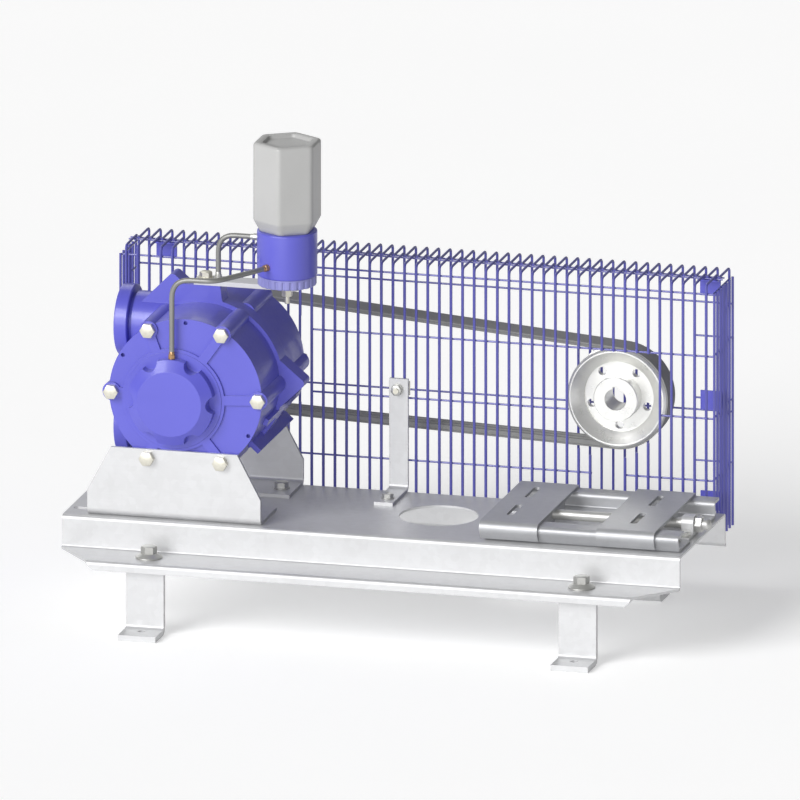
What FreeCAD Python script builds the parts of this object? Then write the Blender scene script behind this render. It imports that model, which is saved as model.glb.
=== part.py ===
import FreeCAD, Part
import math
import os

# Belt-driven rotary vane pump unit, in millimetres.
# +X runs along the base from the pump to the motor end, +Y goes to the belt side, +Z is up.
# The origin is on the floor, at the centre of the four foot holes.

# Base channel
base_len = 1084.0
deck_width = 300.0
deck_top = 182.0
base_sheet = 4.0
base_bend = 2.8
web_height = 55.0
flange_width = 84.0
lip_height = 16.0
corner_cut = 66.0
deck_hole_r = 67.5
deck_hole_x = 77.0
deck_hole_y = 8.0

# Feet
foot_width = 66.0
foot_bar = 10.0
foot_bend = 5.0
foot_spacing_x = 759.0
foot_web_y = 209.0
foot_reach = 268.0
foot_hole_y = 235.0
foot_hole_r = 6.5
foot_bolt_y = 187.0
foot_bolt_r = 8.0
foot_bolt_tail = 20.0
foot_flange_r = 23.0
foot_flange_rim = 2.0
foot_flange_height = 7.0
foot_head_r = 14.0
foot_head_top_r = 11.5
foot_head_bevel = 2.0
foot_head_height = 21.0

# Pump casing
pump_setback = 211.5
casing_x = pump_setback - base_len / 2.0
casing_z = 400.0
shaft_offset = 20.5
shaft_x = casing_x - shaft_offset
shaft_z = 391.5
bore_offset = 8.5
bore_x = casing_x - bore_offset
bore_z = 396.0
bore_r = 98.0
chamber_front_y = -104.0
chamber_back_y = 100.0
cover_face_y = -134.0
rear_face_y = 140.0
casing_r = 134.0
casing_rear_r = 136.0
rib_height = 4.0
rib_width = 17.0
side_rail_setback = 25.0
side_rail_inset = 5.0
neck_bury = 20.0
hub_r = 90.0
hub_step_r = 84.5
hub_step = 1.0
tie_circle_r = 128.8
tie_bolt_r = 8.0
tie_boss_r = 16.0
tie_hex = 24.0
tie_nut_height = 12.0
lug_front_y = -15.0
lug_back_y = 22.0
lug_disc_r = 141.0
lug_top_rise = 164.0
lug_top_z = casing_z + lug_top_rise

# Ports
port_y = 15.0
port_rise = 86.8
port_reach = 149.5
port_face_x = casing_x - port_reach
port_ring_r = 61.5
port_ring_width = 23.0
port_bore_r = 38.0
port_neck_r = 51.0
port_groove_r = 46.0
port_groove_width = 5.0

# Front bearing cap
cap_face_y = -164.0
cap_face_r = 56.5
cap_skirt_r = 75.0
cap_shoulder_y = -152.0
cap_notch_r = 15.0
cap_notch_circle_r = 78.0
cap_cavity_r = 47.0
cap_wall = 10.0

# Shaft, bearings and rotor
journal_r = 25.0
rotor_seat_r = 30.0
pulley_seat_r = 21.0
shaft_front_y = -130.0
shaft_step_y = 150.0
bearing_outer_r = 45.0
bearing_width = 20.0
bearing_race_in = 32.0
bearing_race_out = 39.2
seal_r = 36.0
retainer_r = 58.0
retainer_plate = 6.0
retainer_stop = 3.0
roller_gap = 0.15
roller_count = 12
fit_gap = 0.03
rotor_end_gap = 0.3
rotor_tip_gap = 0.4
vane_count = 6
vane_thick = 6.0
vane_depth = 42.0
vane_gap = 0.1

# Brackets under the pump
bracket_sheet = 6.0
bracket_left_reach = 170.0
bracket_right_reach = 134.0
bracket_left_x = casing_x - bracket_left_reach
bracket_right_x = casing_x + bracket_right_reach
bracket_top_z = 304.0
bracket_side_z = 227.0
bracket_slant = 41.0
bracket_foot = 100.0
bracket_bolt_half = 127.5
bracket_front_bolt_y = -100.0
bracket_rear_bolt_y = 90.0
deck_slot_len = 74.0
deck_slot_shift = 21.0

# Small fasteners
m12_r = 6.0
m12_hex = 19.0
m12_head = 8.0
m12_washer_r = 14.0
m12_washer = 2.5
m10_r = 5.0
m10_hex = 17.0
m10_head = 6.5
hole_play = 0.5

# Motor carriage and tension spindle, set out from the base's right end
block_inset = 32.0
block_start_x = base_len / 2.0 - block_inset
block_clear = 11.5
travel_in = 35.0
travel_out = 4.5
saddle_width = 102.0
saddle_reach = 108.5
motor_x = block_start_x - block_clear - travel_out - saddle_width / 2.0 - saddle_reach
saddle_left_x = motor_x - saddle_reach
saddle_right_x = motor_x + saddle_reach
saddle_shift = 12.0
saddle_edge_ys = [135.0, -146.2, -131.2]
saddle_hem_z = 188.0
rail_sheet = 5.0
rail_bend = 3.0
rail_start_x = saddle_left_x + saddle_shift - saddle_width / 2.0 + 6.0
rail_end_x = base_len / 2.0 - 7.0
slide_gap = 0.3
rail_top_z = 213.0
front_rail_ys = [-95.0, -137.5, -123.5, -55.0]
rear_rail_ys = [135.0, 106.0, 109.0, 52.0]
motor_slot_r = 6.0
motor_slot_len = 69.0
motor_slot_y = 7.5
motor_slot_gap = 119.0
clamp_bolt_y = 71.0
clamp_bolt_left_x = rail_start_x + 22.0
clamp_bolt_right_x = rail_end_x - 25.0
spindle_y = -4.0
spindle_z = 202.0
spindle_r = 9.0
crossbar_x = saddle_left_x + 36.0
crossbar_thick = 20.0
crossbar_half = 70.0
spindle_start_x = crossbar_x - 22.0
block_width = 21.0
block_half_depth = 17.5
block_top_z = 217.0
block_foot = 26.0
block_foot_sheet = 6.0
spindle_hex = 25.0
spindle_nut = 12.0
spindle_tip = 14.4
spindle_dome_r = 9.75
spindle_play = 0.1

# Belt drive
motor_z = 352.6
drive_mid_y = 237.0
rim_width = 56.0
belt_width = 48.0
belt_band = 2.5
belt_rib = 7.0
belt_play = 0.4
motor_belt_r = 89.6
pump_belt_r = 104.3
groove_pitch = 15.0
groove_top = 12.0
groove_bottom = 6.6
groove_depth = 9.0
groove_count = 3
pulley_hub_r = 39.0
pulley_hub_front_y = 203.0
pulley_hub_back_y = 258.0
pulley_web_front_y = 230.0
pulley_web = 12.0
motor_bore_r = 19.0
motor_key_width = 10.0
motor_key_rise = 3.3
lightening_count = 5
lightening_r = 7.25
lightening_circle_r = 51.0

# Belt guard
guard_inset = 21.0
guard_half_len = base_len / 2.0 - guard_inset
guard_front_y = 155.0
guard_back_y = 275.0
guard_top_z = 580.0
upright_wire = 4.0
rail_wire = 3.0
upright_count = 51
first_wire_inset = 10.0
last_wire_inset = 14.0
wire_stagger = 8.0
wire_pitch = (2.0 * guard_half_len - first_wire_inset - last_wire_inset) / (upright_count - 1)
front_first_x = first_wire_inset - guard_half_len
back_first_x = front_first_x + wire_stagger
front_rail_heights = [234.0, 343.0, 452.0, 561.0]
back_rail_heights = [327.0, 516.5]
corner_rail_heights = [238.0, 348.0, 457.0]
return_overlap = 8.0
pump_opening_r = 146.0
motor_opening_r = 92.0
motor_opening_left = 65.0
motor_opening_right = 80.0
motor_slot_half = 25.0
end_wire_offsets = [20.0, 40.0, 56.0]
end_top_z = 563.0
clip_sheet = 2.4
top_clip_half = 18.0
top_clip_drop = 31.0
top_clip_left_inset = 62.5
top_clip_right_inset = 25.5
side_clip_sheet = 3.0
side_clip_reach = 38.0
side_clip_tall = 34.0
side_hook_tall = 26.0
side_hook_half = 12.0
side_clip_tops = [201.0, 377.0]

# Guard strap
strap_x = -30.5
strap_width = 33.0
strap_sheet = 6.0
strap_y = 148.0
strap_foot_y = 45.0
strap_top_z = 379.0
strap_bolt_y = 74.0
clamp_x = strap_x - 2.0
clamp_z = 360.0
clamp_width = 36.0
clamp_height = 24.0
clamp_sheet = 5.0

# Lubricator
lube_reach = 142.5
lube_x = casing_x + lube_reach
lube_y = (lug_front_y + lug_back_y) / 2.0
lube_bar = 8.0
lube_bar_left = 16.5
lube_bar_right = 24.0
ring_bottom_z = lug_top_z + lube_bar
top_union_offset = 21.8
front_union_rise = 21.0
side_union_rise = 61.0
stud_head = 14.0
stud_tail = 13.0
ring_height = 17.0
ring_r = 50.0
ring_teeth = 24
tooth_depth = 2.0
lube_body_r = 51.35
lube_body_height = 78.0
bottle_r = 60.6
bottle_neck_base_r = 49.0
bottle_taper = 21.0
bottle_height = 156.0
bottle_round = 4.0
bottle_neck_r = 29.6
bottle_socket_r = 30.0
bottle_neck_depth = 18.0
bottle_gap = 0.3
bottle_pocket = 6.0
tube_r = 4.0
tube_bend = 16.0
union_hex = 12.0

ORIGIN = FreeCAD.Vector(0, 0, 0)
AXIS_X = FreeCAD.Vector(1, 0, 0)
AXIS_Y = FreeCAD.Vector(0, 1, 0)
AXIS_Z = FreeCAD.Vector(0, 0, 1)


def vec(x, y, z):
    return FreeCAD.Vector(x, y, z)


def box(x0, x1, y0, y1, z0, z1):
    return Part.makeBox(x1 - x0, y1 - y0, z1 - z0, vec(x0, y0, z0))


def rod_x(radius, x0, x1, y, z):
    return Part.makeCylinder(radius, x1 - x0, vec(x0, y, z), AXIS_X)


def rod_y(radius, y0, y1, x, z):
    return Part.makeCylinder(radius, y1 - y0, vec(x, y0, z), AXIS_Y)


def rod_z(radius, z0, z1, x, y):
    return Part.makeCylinder(radius, z1 - z0, vec(x, y, z0), AXIS_Z)


def rod_along(radius, start, end):
    span = end.sub(start)
    return Part.makeCylinder(radius, span.Length, start, span)


def join(shapes):
    whole = shapes[0]
    for shape in shapes[1:]:
        whole = whole.fuse(shape)
    return whole.removeSplitter()


def polygon_face(points):
    return Part.Face(Part.makePolygon(points + [points[0]]))


def hex_points(across_flats, centre, first, second, turn=0.0):
    corner_r = across_flats / math.sqrt(3.0)
    points = []
    for k in range(6):
        angle = math.radians(60.0 * k + turn)
        along = first * (corner_r * math.cos(angle))
        across = second * (corner_r * math.sin(angle))
        points.append(centre.add(along).add(across))
    return points


def hex_x(across_flats, x0, x1, y, z, turn=0.0):
    face = polygon_face(hex_points(across_flats, vec(x0, y, z), AXIS_Y, AXIS_Z, turn))
    return face.extrude(vec(x1 - x0, 0, 0))


def hex_y(across_flats, y0, y1, x, z, turn=0.0):
    face = polygon_face(hex_points(across_flats, vec(x, y0, z), AXIS_X, AXIS_Z, turn))
    return face.extrude(vec(0, y1 - y0, 0))


def hex_z(across_flats, z0, z1, x, y, turn=0.0):
    face = polygon_face(hex_points(across_flats, vec(x, y, z0), AXIS_X, AXIS_Y, turn))
    return face.extrude(vec(0, 0, z1 - z0))


def turned_y(profile, x, z):
    """A closed list of (radius, y) corners revolved about the line along Y at x, z."""
    points = [vec(x + radius, y, z) for radius, y in profile]
    return polygon_face(points).revolve(vec(x, 0, z), AXIS_Y, 360)


def turned_z(profile, x, y):
    """A closed list of (radius, z) corners revolved about the line along Z at x, y."""
    points = [vec(x + radius, y, z) for radius, z in profile]
    return polygon_face(points).revolve(vec(x, y, 0), AXIS_Z, 360)


def slot_z(radius, length, z0, z1, x, y, along):
    """A round-ended slot cutter of the given overall length, along 'x' or 'y'."""
    half = length / 2.0 - radius
    if along == "x":
        ends = [rod_z(radius, z0, z1, x - half, y), rod_z(radius, z0, z1, x + half, y)]
        middle = box(x - half, x + half, y - radius, y + radius, z0, z1)
    else:
        ends = [rod_z(radius, z0, z1, x, y - half), rod_z(radius, z0, z1, x, y + half)]
        middle = box(x - radius, x + radius, y - half, y + half, z0, z1)
    return join(ends + [middle])


def bent_strip(points, thickness, inner_r, x0, x1):
    """Sheet bent along a line of (y, z) centre points, drawn out from x0 to x1."""
    mid_r = inner_r + thickness / 2.0
    line = [vec(x0, y, z) for y, z in points]
    sides = [[], []]
    starts = [line[0], line[0]]
    for k in range(1, len(line) - 1):
        before = (line[k].sub(line[k - 1])).normalize()
        after = (line[k + 1].sub(line[k])).normalize()
        turn = math.atan2(before.cross(after).x, before.dot(after))
        run = mid_r * math.tan(abs(turn) / 2.0)
        arc_start = line[k].sub(before * run)
        arc_end = line[k].add(after * run)
        hand = 1.0 if turn > 0 else -1.0
        normal_in = AXIS_X.cross(before)
        normal_out = AXIS_X.cross(after)
        centre = arc_start.add(normal_in * (hand * mid_r))
        bisector = (normal_in.add(normal_out)).normalize()
        for index, offset in enumerate([thickness / 2.0, -thickness / 2.0]):
            if k == 1:
                starts[index] = line[0].add(normal_in * offset)
            radius = mid_r - hand * offset
            first = arc_start.add(normal_in * offset)
            last = arc_end.add(normal_out * offset)
            middle = centre.sub(bisector * (hand * radius))
            sides[index].append((first, middle, last))
    last_dir = (line[-1].sub(line[-2])).normalize()
    last_normal = AXIS_X.cross(last_dir)
    edges = []
    ends = []
    for index, offset in enumerate([thickness / 2.0, -thickness / 2.0]):
        here = starts[index]
        for first, middle, last in sides[index]:
            edges.append(Part.makeLine(here, first))
            edges.append(Part.Arc(first, middle, last).toShape())
            here = last
        finish = line[-1].add(last_normal * offset)
        edges.append(Part.makeLine(here, finish))
        ends.append(finish)
    edges.append(Part.makeLine(starts[0], starts[1]))
    edges.append(Part.makeLine(ends[0], ends[1]))
    wire = Part.Wire(Part.__sortEdges__(edges))
    return Part.Face(wire).extrude(vec(x1 - x0, 0, 0))


def mirrored_y(shape):
    return shape.mirror(ORIGIN, AXIS_Y)


def base_channel():
    half = deck_width / 2.0
    mid = base_sheet / 2.0
    flange_z = deck_top - web_height - mid
    lip_y = half + flange_width - mid
    right = [
        (half - mid, deck_top - mid),
        (half - mid, flange_z),
        (lip_y, flange_z),
        (lip_y, deck_top - web_height - lip_height),
    ]
    left = [(-y, z) for y, z in reversed(right)]
    channel = bent_strip(left + right, base_sheet, base_bend, -base_len / 2.0, base_len / 2.0)
    cutters = corner_cutters()
    low = deck_top - 2 * base_sheet
    cutters.append(rod_z(deck_hole_r, low, deck_top + base_sheet, deck_hole_x, deck_hole_y))
    for x, y in bracket_bolt_places():
        cutters.append(deck_slot(x - deck_slot_shift, y, deck_slot_len))
    clamp_len = travel_in + travel_out + 2 * (m12_r + 1.0) + 2.0
    for x, y in clamp_bolt_places():
        cutters.append(deck_slot(x - (travel_in - travel_out) / 2.0, y, clamp_len))
    for x, y in foot_places(foot_bolt_y):
        cutters.append(rod_z(foot_bolt_r + hole_play, 0, deck_top - mid, x, y))
    cutters.append(rod_z(m10_r + hole_play, low, deck_top + 1, strap_x, strap_bolt_y))
    cutters.append(rod_z(m10_r + hole_play, low, deck_top + 1, block_mid_x(), block_bolt_y()))
    return channel.cut(cutters)


def corner_cutters():
    """Triangular prisms that slant the flange corners, and small ones for the lip ends."""
    half = deck_width / 2.0
    end = base_len / 2.0
    outer = half + flange_width
    top = deck_top - web_height + base_sheet
    low = deck_top - web_height - lip_height - base_sheet
    slope = corner_cut / flange_width
    cutters = []
    for side_x in (-1.0, 1.0):
        for side_y in (-1.0, 1.0):
            flange = polygon_face([
                vec(side_x * (end + 1), side_y * (half + base_sheet), low),
                vec(side_x * (end + 1), side_y * (outer + 5), low),
                vec(side_x * (end - corner_cut - 5 * slope), side_y * (outer + 5), low),
                vec(side_x * end, side_y * (half + base_sheet), low),
            ])
            cutters.append(flange.extrude(vec(0, 0, top - low)))
            lip_low = deck_top - web_height - lip_height
            tip_x = end - corner_cut + base_sheet
            lip = polygon_face([
                vec(side_x * (tip_x + 4), side_y * (outer + 2), lip_low + lip_height - 2),
                vec(side_x * (tip_x + 4), side_y * (outer + 2), lip_low - 2),
                vec(side_x * (tip_x - lip_height), side_y * (outer + 2), lip_low - 2),
            ])
            cutters.append(lip.extrude(vec(0, -side_y * (base_sheet + 4), 0)))
    return cutters


def deck_slot(x, y, length):
    return slot_z(m12_r + 1.0, length, deck_top - 2 * base_sheet, deck_top + base_sheet, x, y, "x")


def foot_places(y):
    places = []
    for side_x in (-0.5, 0.5):
        for side_y in (-1.0, 1.0):
            places.append((side_x * foot_spacing_x, side_y * y))
    return places


def foot(x, side):
    mid = foot_bar / 2.0
    flange_bottom = deck_top - web_height - base_sheet
    line = [
        (-(deck_width / 2.0 + 8.0), flange_bottom - mid),
        (-foot_web_y, flange_bottom - mid),
        (-foot_web_y, mid),
        (-foot_reach, mid),
    ]
    bar = bent_strip(line, foot_bar, foot_bend, x - foot_width / 2.0, x + foot_width / 2.0)
    bar = bar.cut(rod_z(foot_hole_r, -1, foot_bar + 1, x, -foot_hole_y))
    hole_low = flange_bottom - foot_bar - 1
    bar = bar.cut(rod_z(foot_bolt_r + hole_play, hole_low, flange_bottom + 1, x, -foot_bolt_y))
    return mirrored_y(bar) if side > 0 else bar


def foot_bolt(x, y):
    seat = deck_top - web_height
    cone_top = seat + foot_flange_height
    top = seat + foot_head_height
    cone = [
        (0, seat),
        (foot_flange_r, seat),
        (foot_flange_r, seat + foot_flange_rim),
        (foot_head_r, cone_top),
        (0, cone_top),
    ]
    crown = [
        (0, seat),
        (foot_head_r, seat),
        (foot_head_r, top - foot_head_bevel),
        (foot_head_top_r, top),
        (0, top),
    ]
    flange = turned_z(cone, x, y)
    head = hex_z(tie_hex, cone_top - 1, top, x, y, 15.0)
    head = head.common(turned_z(crown, x, y))
    shank = rod_z(foot_bolt_r, seat - base_sheet - foot_bar - foot_bolt_tail, seat + 1, x, y)
    return join([flange, head, shank])


def foot_nut(x, y):
    under = deck_top - web_height - base_sheet - foot_bar
    nut = hex_z(tie_hex, under - 13, under, x, y)
    return nut.cut(rod_z(foot_bolt_r + fit_gap, under - 14, under + 1, x, y))


def bracket_mid_x():
    return (bracket_left_x + bracket_right_x) / 2.0


def front_bracket():
    mid_y = cover_face_y - bracket_sheet / 2.0
    return pump_bracket(mid_y, cover_face_y + bracket_foot, bracket_front_bolt_y)


def rear_bracket():
    mid_y = rear_face_y + bracket_sheet / 2.0
    return pump_bracket(mid_y, rear_face_y - bracket_foot + 10.0, bracket_rear_bolt_y)


def bracket_bolt_places():
    places = []
    for y in (bracket_front_bolt_y, bracket_rear_bolt_y):
        for side in (-1.0, 1.0):
            places.append((bracket_mid_x() + side * bracket_bolt_half, y))
    return places


def tie_places():
    places = []
    for k in range(6):
        angle = math.radians(60.0 * k)
        x = casing_x + tie_circle_r * math.cos(angle)
        z = casing_z + tie_circle_r * math.sin(angle)
        places.append((x, z))
    return places


def low_tie_places():
    return [place for place in tie_places() if place[1] < casing_z - tie_circle_r / 2.0]


def pump_bracket(plate_y, foot_end_y, bolt_y):
    mid = bracket_sheet / 2.0
    line = [(plate_y, bracket_top_z), (plate_y, deck_top + mid), (foot_end_y, deck_top + mid)]
    plate = bent_strip(line, bracket_sheet, bracket_sheet, bracket_left_x, bracket_right_x)
    cutters = []
    for edge_x, side in ((bracket_left_x, 1.0), (bracket_right_x, -1.0)):
        corner = polygon_face([
            vec(edge_x, plate_y - bracket_sheet, bracket_side_z),
            vec(edge_x + side * bracket_slant, plate_y - bracket_sheet, bracket_top_z),
            vec(edge_x + side * bracket_slant, plate_y - bracket_sheet, bracket_top_z + 5),
            vec(edge_x - side * 5, plate_y - bracket_sheet, bracket_top_z + 5),
            vec(edge_x - side * 5, plate_y - bracket_sheet, bracket_side_z),
        ])
        cutters.append(corner.extrude(vec(0, 2 * bracket_sheet, 0)))
    for x, z in low_tie_places():
        cutters.append(rod_y(tie_bolt_r + hole_play, plate_y - bracket_sheet, plate_y + bracket_sheet, x, z))
    for x, y in bracket_bolt_places():
        if abs(y - bolt_y) < 1.0:
            cutters.append(rod_z(m12_r + hole_play, deck_top - 1, deck_top + bracket_sheet + 1, x, y))
    return plate.cut(cutters)


def plain_bolt_z(x, y, seat_z, radius, across, head, washer_r, washer, tail_z):
    """Hex bolt standing on seat_z with its own washer, reaching down to tail_z."""
    parts = [
        rod_z(washer_r, seat_z, seat_z + washer, x, y),
        hex_z(across, seat_z + washer, seat_z + washer + head, x, y, 10.0),
        rod_z(radius, tail_z, seat_z + washer, x, y),
    ]
    return join(parts)


def nut_z(x, y, top_z, radius, across, height):
    nut = hex_z(across, top_z - height, top_z, x, y, 10.0)
    return nut.cut(rod_z(radius + fit_gap, top_z - height - 1, top_z + 1, x, y))


def casing_section(radius, y0, y1):
    """Round casing length with the six tie bolt bosses standing out of it."""
    parts = [rod_y(radius, y0, y1, casing_x, casing_z)]
    for x, z in tie_places():
        parts.append(rod_y(tie_boss_r, y0, y1, x, z))
    return parts


def side_rails(y0, y1):
    """The two long ribs at the lower right of the casing."""
    rails = []
    for angle, inner, outer, thick in ((-22.0, 120.0, 141.0, 12.0), (-42.0, 120.0, 156.0, 9.0)):
        rail = box(inner, outer, y0, y1, -thick / 2.0, thick / 2.0)
        rail.rotate(ORIGIN, AXIS_Y, -angle)
        rail.translate(vec(casing_x, 0, casing_z))
        rails.append(rail)
    return rails


def tie_holes(y0, y1):
    return [rod_y(tie_bolt_r + hole_play, y0, y1, x, z) for x, z in tie_places()]


def lug_plate():
    """Flange disc with a seat and a horn at the top, and a corner lug at the right."""
    disc = rod_y(lug_disc_r, lug_front_y, lug_back_y, casing_x, casing_z)
    rise = lug_top_rise
    top = [(-120, 95), (-118, 118), (-54, rise + 19), (-32, rise), (30, rise), (34, 133), (62, 126), (0, 60)]
    right = [(120, 74), (135, 41), (181, 3), (135, -41), (118, -76), (60, 0)]
    lugs = [disc]
    for corners, rounds in ((top, ((2, 8.0), (5, 14.0))), (right, ((2, 8.0),))):
        points = [vec(casing_x + x, lug_front_y, casing_z + z) for x, z in corners]
        lug = polygon_face(points).extrude(vec(0, lug_back_y - lug_front_y, 0))
        for corner, radius in rounds:
            edges = [edge for edge in lug.Edges if on_line_y(edge, points[corner])]
            lug = lug.makeFillet(radius, edges)
        lugs.append(lug)
    return join(lugs)


def on_line_y(edge, point):
    """True for an edge that runs along Y through the given point."""
    near = [abs(v.X - point.x) < 0.01 and abs(v.Z - point.z) < 0.01 for v in edge.Vertexes]
    return all(near) and len(near) == 2


def port_heights():
    return (casing_z + port_rise, casing_z - port_rise)


def stator_housing():
    parts = casing_section(casing_r, chamber_front_y, lug_front_y)
    parts += casing_section(casing_rear_r, lug_back_y, chamber_back_y)
    parts.append(lug_plate())
    parts += side_rails(chamber_front_y + side_rail_setback, chamber_back_y)
    neck_end = casing_x - neck_bury
    neck_start = port_face_x + port_ring_width
    for z in port_heights():
        parts.append(rod_x(port_groove_r, neck_start, neck_end, port_y, z))
        parts.append(rod_x(port_neck_r, neck_start + port_groove_width, neck_end, port_y, z))
    body = join(parts)
    cutters = [rod_y(bore_r, chamber_front_y - 1, chamber_back_y + 1, bore_x, bore_z)]
    for z in port_heights():
        cutters.append(rod_x(port_ring_r + 1.0, port_face_x - 5, neck_start, port_y, z))
        cutters.append(rod_x(port_bore_r + 1.0, neck_start - 1, bore_x - neck_bury, port_y, z))
    cutters += tie_holes(chamber_front_y - 1, chamber_back_y + 1)
    cutters.append(rod_z(m12_r, lug_top_z - 20, lug_top_z + 1, casing_x, lube_y))
    cutters.append(rod_z(oil_hole_r(), lug_top_z - 12, lug_top_z + 1, top_union_x(), lube_y))
    return body.cut(cutters)


def front_cover():
    face = cover_face_y + rib_height
    parts = [rod_y(casing_r, face, chamber_front_y, casing_x, casing_z)]
    for x, z in tie_places():
        parts.append(rod_y(tie_boss_r, cover_face_y, chamber_front_y, x, z))
        parts.append(cover_rib(x, z, face))
    parts.append(rod_y(hub_r, cover_face_y, face + 1, shaft_x, shaft_z))
    parts.append(rod_y(hub_step_r, cover_face_y - hub_step, face, shaft_x, shaft_z))
    body = join(parts)
    cutters = tie_holes(cover_face_y - 2, chamber_front_y + 1)
    bore_start = cover_face_y - hub_step - 1
    seat_end = front_bearing_y() + bearing_width
    cutters.append(rod_y(bearing_outer_r + fit_gap, bore_start, seat_end, shaft_x, shaft_z))
    cutters.append(rod_y(rotor_seat_r + 1, bore_start, chamber_front_y + 1, shaft_x, shaft_z))
    for angle in (90.0, 150.0, 330.0):
        x = casing_x + 127.0 * math.cos(math.radians(angle))
        z = casing_z + 127.0 * math.sin(math.radians(angle))
        cutters.append(rod_y(3.5, face - 5, face + 10, x, z))
    return body.cut(cutters)


def cover_rib(x, z, face):
    """Raised rib from the hub to one tie bolt boss."""
    span = math.hypot(x - shaft_x, z - shaft_z)
    rib = box(0, span, cover_face_y, face + 1, -rib_width / 2.0, rib_width / 2.0)
    angle = math.degrees(math.atan2(z - shaft_z, x - shaft_x))
    rib.rotate(ORIGIN, AXIS_Y, -angle)
    rib.translate(vec(shaft_x, 0, shaft_z))
    return rib


def front_bearing_y():
    return cover_face_y + 4.0


def rear_bearing_y():
    return chamber_back_y + 8.0


def front_cap():
    seat = cover_face_y - hub_step
    inner = cap_face_y + cap_wall
    profile = [
        (0, cap_face_y),
        (cap_face_r, cap_face_y),
        (cap_skirt_r, cap_shoulder_y),
        (cap_skirt_r, seat),
        (cap_cavity_r, seat),
        (cap_cavity_r, inner),
        (0, inner),
    ]
    cap = turned_y(profile, shaft_x, shaft_z)
    cutters = []
    for k in range(6):
        angle = math.radians(60.0 * k)
        x = shaft_x + cap_notch_circle_r * math.cos(angle)
        z = shaft_z + cap_notch_circle_r * math.sin(angle)
        cutters.append(rod_y(cap_notch_r, cap_face_y - 1, seat + 1, x, z))
    hole_low = shaft_z + cap_cavity_r - 2
    cutters.append(rod_z(union_shank_r(), hole_low, shaft_z + cap_skirt_r + 1, shaft_x, cap_union_y()))
    return cap.cut(cutters)


def cap_union_y():
    return cap_shoulder_y + 8.5


def rear_cover():
    parts = casing_section(casing_rear_r, chamber_back_y, rear_face_y)
    parts += side_rails(chamber_back_y, rear_face_y - side_rail_inset)
    body = join(parts)
    cutters = tie_holes(chamber_back_y - 1, rear_face_y + 1)
    cutters.append(rod_y(bearing_outer_r + fit_gap, rear_bearing_y(), rear_face_y + 1, shaft_x, shaft_z))
    cutters.append(rod_y(rotor_seat_r + 1, chamber_back_y - 1, rear_face_y + 1, shaft_x, shaft_z))
    return body.cut(cutters)


def seal_retainer():
    spigot_r = bearing_outer_r - fit_gap
    spigot_y = rear_bearing_y() + bearing_width + retainer_stop
    plate_end = rear_face_y + retainer_plate
    profile = [
        (seal_r, spigot_y),
        (spigot_r, spigot_y),
        (spigot_r, rear_face_y),
        (retainer_r, rear_face_y),
        (retainer_r, plate_end),
        (seal_r, plate_end),
    ]
    return turned_y(profile, shaft_x, shaft_z)


def shaft_seal():
    seal_y = rear_bearing_y() + bearing_width + 5.0
    profile = [
        (journal_r + 0.3, seal_y + 4),
        (journal_r + 4, seal_y),
        (seal_r, seal_y),
        (seal_r, seal_y + 10),
        (journal_r + 4, seal_y + 10),
        (journal_r + 0.3, seal_y + 6),
    ]
    return turned_y(profile, shaft_x, shaft_z)


def tie_bolts():
    bolts = []
    for x, z in tie_places():
        low = z < casing_z - tie_circle_r / 2.0
        extra = bracket_sheet if low else 0.0
        seat = cover_face_y - extra
        tail = rear_face_y + extra + tie_nut_height
        head = hex_y(tie_hex, seat - 10, seat, x, z, 20.0)
        crown = [(0, seat - 10), (11.5, seat - 10), (14.2, seat - 8.4), (14.2, seat), (0, seat)]
        head = head.common(turned_y(crown, x, z))
        bolts.append(join([head, rod_y(tie_bolt_r, seat, tail, x, z)]))
    return bolts


def tie_nuts():
    nuts = []
    for x, z in tie_places():
        low = z < casing_z - tie_circle_r / 2.0
        seat = rear_face_y + (bracket_sheet if low else 0.0)
        nut = hex_y(tie_hex, seat, seat + tie_nut_height, x, z, 20.0)
        nuts.append(nut.cut(rod_y(tie_bolt_r + fit_gap, seat - 1, seat + tie_nut_height + 1, x, z)))
    return nuts


def port_flange(z):
    ring = rod_x(port_ring_r, port_face_x, port_face_x + port_ring_width, port_y, z)
    ring = ring.makeChamfer(1.5, [edge for edge in ring.Edges if edge.BoundBox.XLength < 0.1])
    return ring.cut(rod_x(port_bore_r, port_face_x - 1, port_face_x + port_ring_width + 1, port_y, z))


def ring_y(outer, inner, y0, y1):
    return turned_y([(inner, y0), (outer, y0), (outer, y1), (inner, y1)], shaft_x, shaft_z)


def bearing_rings(outer, inner):
    rings = []
    for y in (front_bearing_y(), rear_bearing_y()):
        rings.append(ring_y(outer, inner, y, y + bearing_width))
    return rings


def bearing_rollers():
    mid_r = (bearing_race_in + bearing_race_out) / 2.0
    roller_r = (bearing_race_out - bearing_race_in) / 2.0 - roller_gap
    rollers = []
    for y in (front_bearing_y(), rear_bearing_y()):
        for k in range(roller_count):
            angle = 2 * math.pi * k / roller_count
            x = shaft_x + mid_r * math.cos(angle)
            z = shaft_z + mid_r * math.sin(angle)
            rollers.append(rod_y(roller_r, y + 2, y + bearing_width - 2, x, z))
    return rollers


def bearing_cages():
    """Rings with one pocket for each roller, running between the races."""
    mid_r = (bearing_race_in + bearing_race_out) / 2.0
    half = (bearing_race_out - bearing_race_in) / 2.0
    cages = []
    for y in (front_bearing_y(), rear_bearing_y()):
        cage = ring_y(mid_r + half / 2.0, mid_r - half / 2.0, y + 0.5, y + bearing_width - 0.5)
        pockets = []
        for k in range(roller_count):
            angle = 2 * math.pi * k / roller_count
            x = shaft_x + mid_r * math.cos(angle)
            z = shaft_z + mid_r * math.sin(angle)
            pockets.append(rod_y(half, y + 2 - roller_gap, y + bearing_width - 2 + roller_gap, x, z))
        cages.append(cage.cut(pockets))
    return cages


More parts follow.
